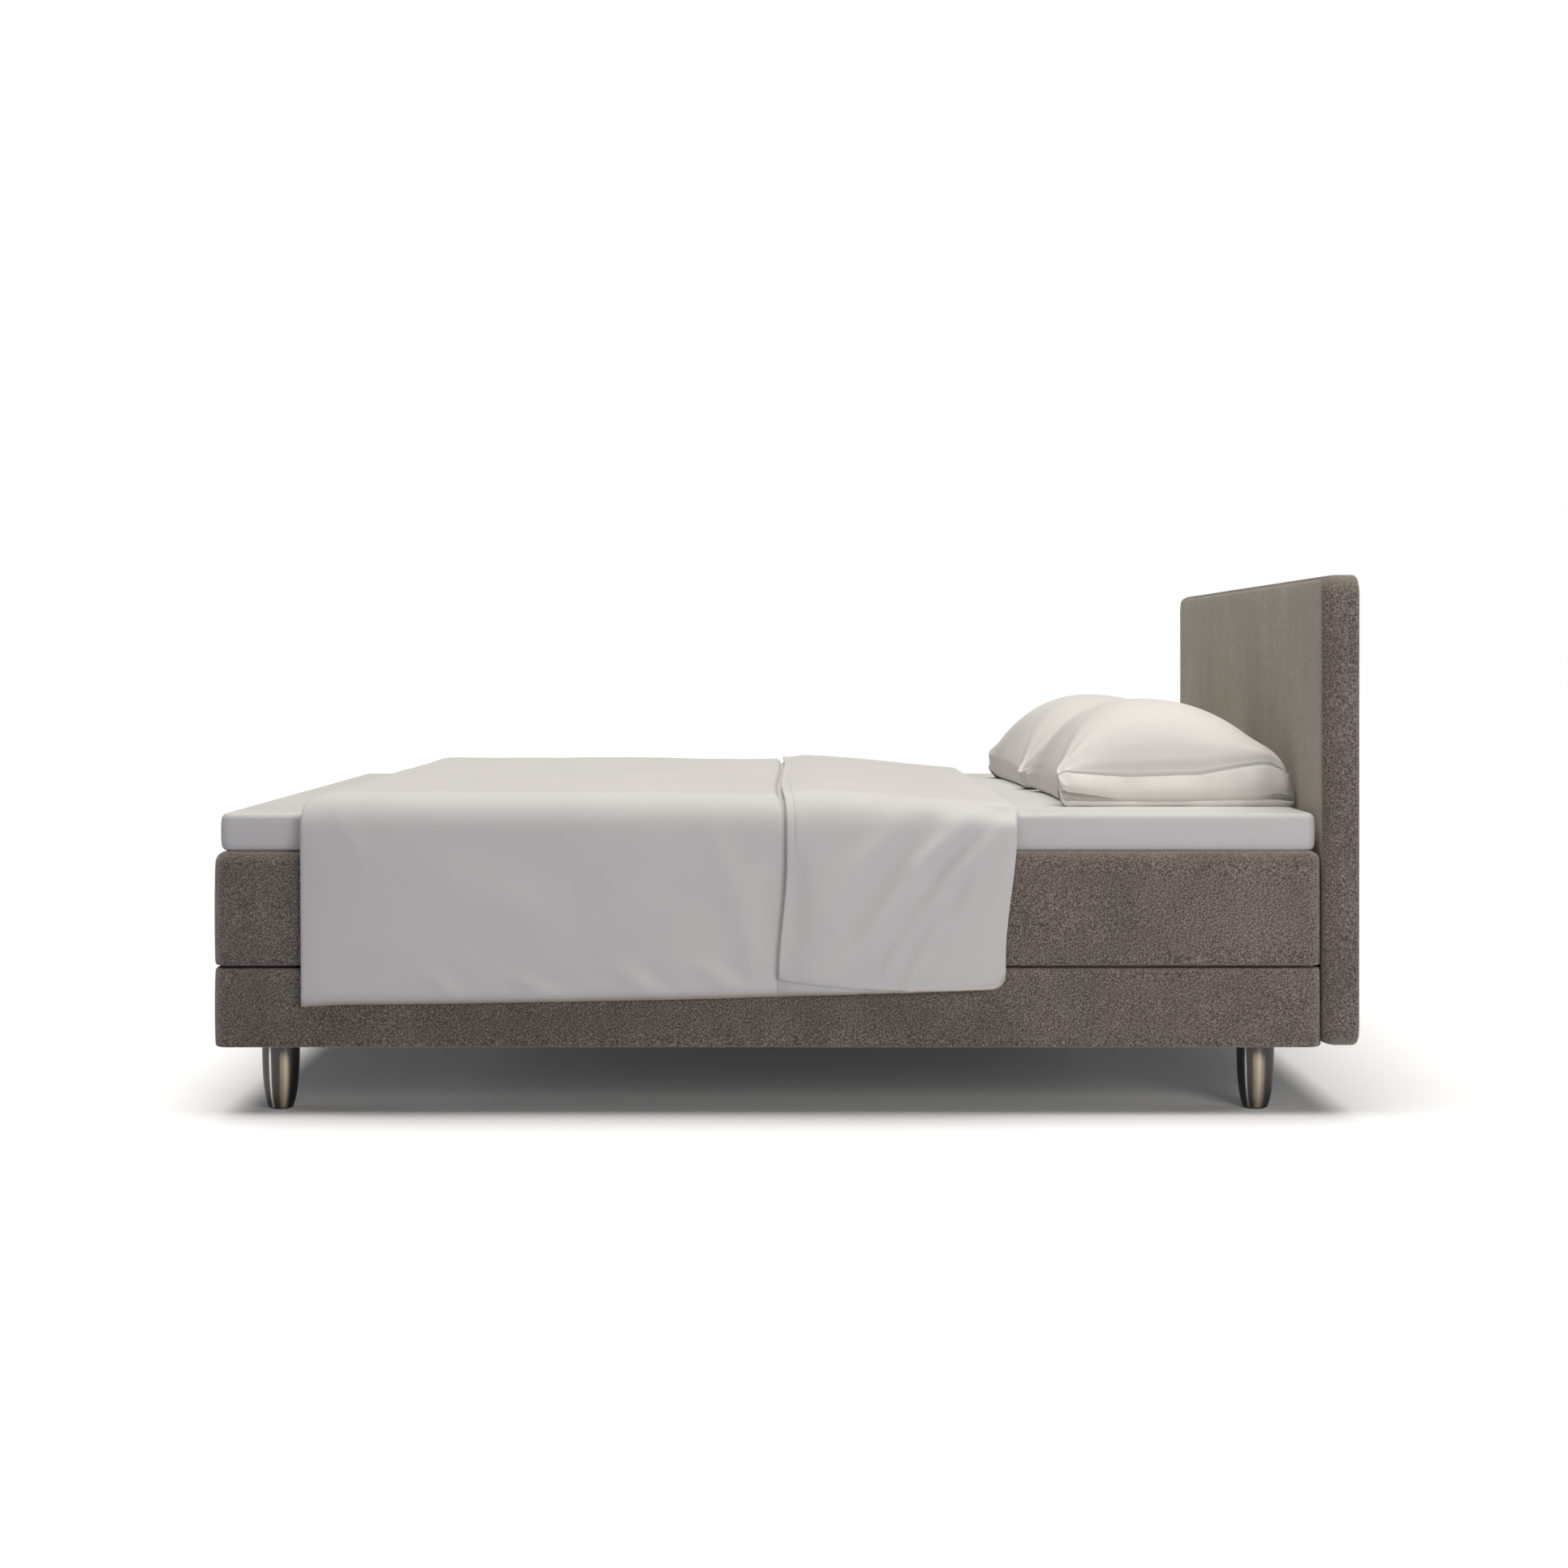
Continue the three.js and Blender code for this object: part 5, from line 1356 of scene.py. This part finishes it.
def near_end(rim, u, seed):
    """Rows of points of the near end from the sheet up to the rim, outside and inside.
    u runs from -1 at the foot corner to 1 at the head corner."""
    ends = fullness(u, 8, 0.5)
    gape = MIDDLE_GAPE + (1 - MIDDLE_GAPE) * (ease(-u, 0.45, 0.75) + ease(u, 0.72, 0.92))
    wedge = FOOT_WEDGE * ease(-u, 0.38, 0.84) * (1 - ease(-u, 0.90, 0.97))
    wedge += HEAD_WEDGE * ease(u, 0.66, 0.92) * (1 - ease(u, 0.96, 1.0))
    sway = LONG_SWAY[0] * np.sin(LONG_SWAY[1] * u + seed) + SHORT_SWAY[0] * np.sin(SHORT_SWAY[1] * u)
    lifted = np.minimum(turned_up((1 + u) * CASE[0], CASE[1]), END_RISE)
    filled = HEAD_FILL * ease(u, 0.82, 1.0)
    gathered = (ease(-u, 0.72, 1.0) + 0.5 * ease(u, 0.85, 1.0)) * (1 - lifted)
    outside, inside = [], []
    for height, outwards in MOUTH:
        level = height / MOUTH[-1][0]
        in_slit = SLIT[0] < height < SLIT[1]
        reach = outwards + ((1 - gape) * SLIT_CLOSING - SLIT_DEPTH * wedge) * in_slit
        reach = reach + sway * math.sin(math.pi * level)
        share = level + wedge * (1 - level) * (height > LIP)
        row = rim.copy()
        row[:, 0] += filled * (1 - share ** 2)
        row[:, 1] -= reach * ends - END_PULL * (1 - ends) * (1 - share)
        row[:, 2] = BOTTOM + (rim[:, 2] - BOTTOM) * (lifted + (1 - lifted) * share)
        swell = CRUMPLE * gathered * np.sin(math.pi * np.clip(share, 0, 1))
        row += ripples(row, CRUMPLE_SIZE, seed, 3) * swell[:, None]
        row[:, 2] = np.maximum(row[:, 2], BOTTOM)
        outside.append(row)
        low = rim.copy()
        low[:, 0] += filled
        low[:, 1] -= (STRIP_OUT * (1 - level) - STRIP_IN * level) * ends
        low[:, 1] += STRIP_PULL * (1 - ends) * (1 + level)
        low[:, 2] = BOTTOM + (rim[:, 2] - BOTTOM) * lifted
        inside.append(low)
    return np.stack(outside, axis=1), np.stack(inside, axis=1)


# %% Lay the pillows down
FINE_STEPS, BUNCHING = (71, 101), (0.93, 0.95)
CREASES, CREASE_HEIGHT, CREASE_REACH = 11, 0.008, 0.065


def corner_creases(u, v, seed):
    """Folds that run out of the corners of the case, where its cloth is gathered."""
    total = np.zeros_like(u)
    for number, (corner_u, corner_v) in enumerate(((-1, -1), (-1, 1), (1, -1), (1, 1))):
        du, dv = (corner_u - u) * corner_u * CASE[0], (corner_v - v) * corner_v * CASE[1]
        reach, angle = np.hypot(du, dv), np.arctan2(dv, du)
        turn = CREASES * angle + 1.6 * np.sin(2.3 * angle + seed + number) + 18 * reach
        total += CREASE_HEIGHT * np.sin(turn) * ease(reach, 0, 0.03) * np.exp(-reach / CREASE_REACH)
    return total


def bunched(count, bunching):
    """Steps from -1 to 1 that lie closer together towards both ends."""
    turn = math.pi / 2 * bunching
    return np.sin(np.linspace(-1, 1, count) * turn) / math.sin(turn)


def lay_pillow(name, node, far, seed, roundness=0.75, turn=0.0, offset=(0.0, 0.0)):
    u, v = np.meshgrid(*map(bunched, FINE_STEPS, BUNCHING), indexing="ij")
    upper, under = case_point(u, v, True, roundness), case_point(u, v, False, roundness)
    pass_on(*buckled(seed, roundness), (upper, under))
    upper[..., 2] += corner_creases(u, v, seed) * (upper[..., 2] > BOTTOM + 0.004)
    upper[..., 2] = np.maximum(upper[..., 2], BOTTOM + 0.002)
    under[..., 2] = np.clip(under[..., 2], BOTTOM, upper[..., 2] - 0.001)
    outside, inside = near_end(upper[:, 0], u[:, 0], seed)
    outer = np.concatenate([outside, upper[:, 1:]], axis=1)
    inner = np.concatenate([inside, under[:, 1:]], axis=1)
    inner[..., 1] = np.maximum(inner[..., 1], inner[:, :1, 1])
    cos, sin = math.cos(turn), math.sin(turn)
    for surface in (outer, inner):
        away = surface[..., :2] - CASE_MIDDLE
        surface[..., 0] = CASE_MIDDLE[0] + away[..., 0] * cos - away[..., 1] * sin + offset[0]
        surface[..., 1] = CASE_MIDDLE[1] + away[..., 0] * sin + away[..., 1] * cos + offset[1]
        if far:
            surface[..., 1] *= -1
    pillow = quilt_piece(
        name, outer.reshape(-1, 3), inner.reshape(-1, 3), outer.shape[:2], pillow_cotton,
    )
    face_outwards(pillow)
    dress(pillow, node, "pillow_cotton", node)


lay_pillow("near_pillow", "pillow_near", False, 2.0)
lay_pillow("far_pillow", "pillow_far", True, 6.5, 0.92, turn=-0.036, offset=(-0.026, -0.012))
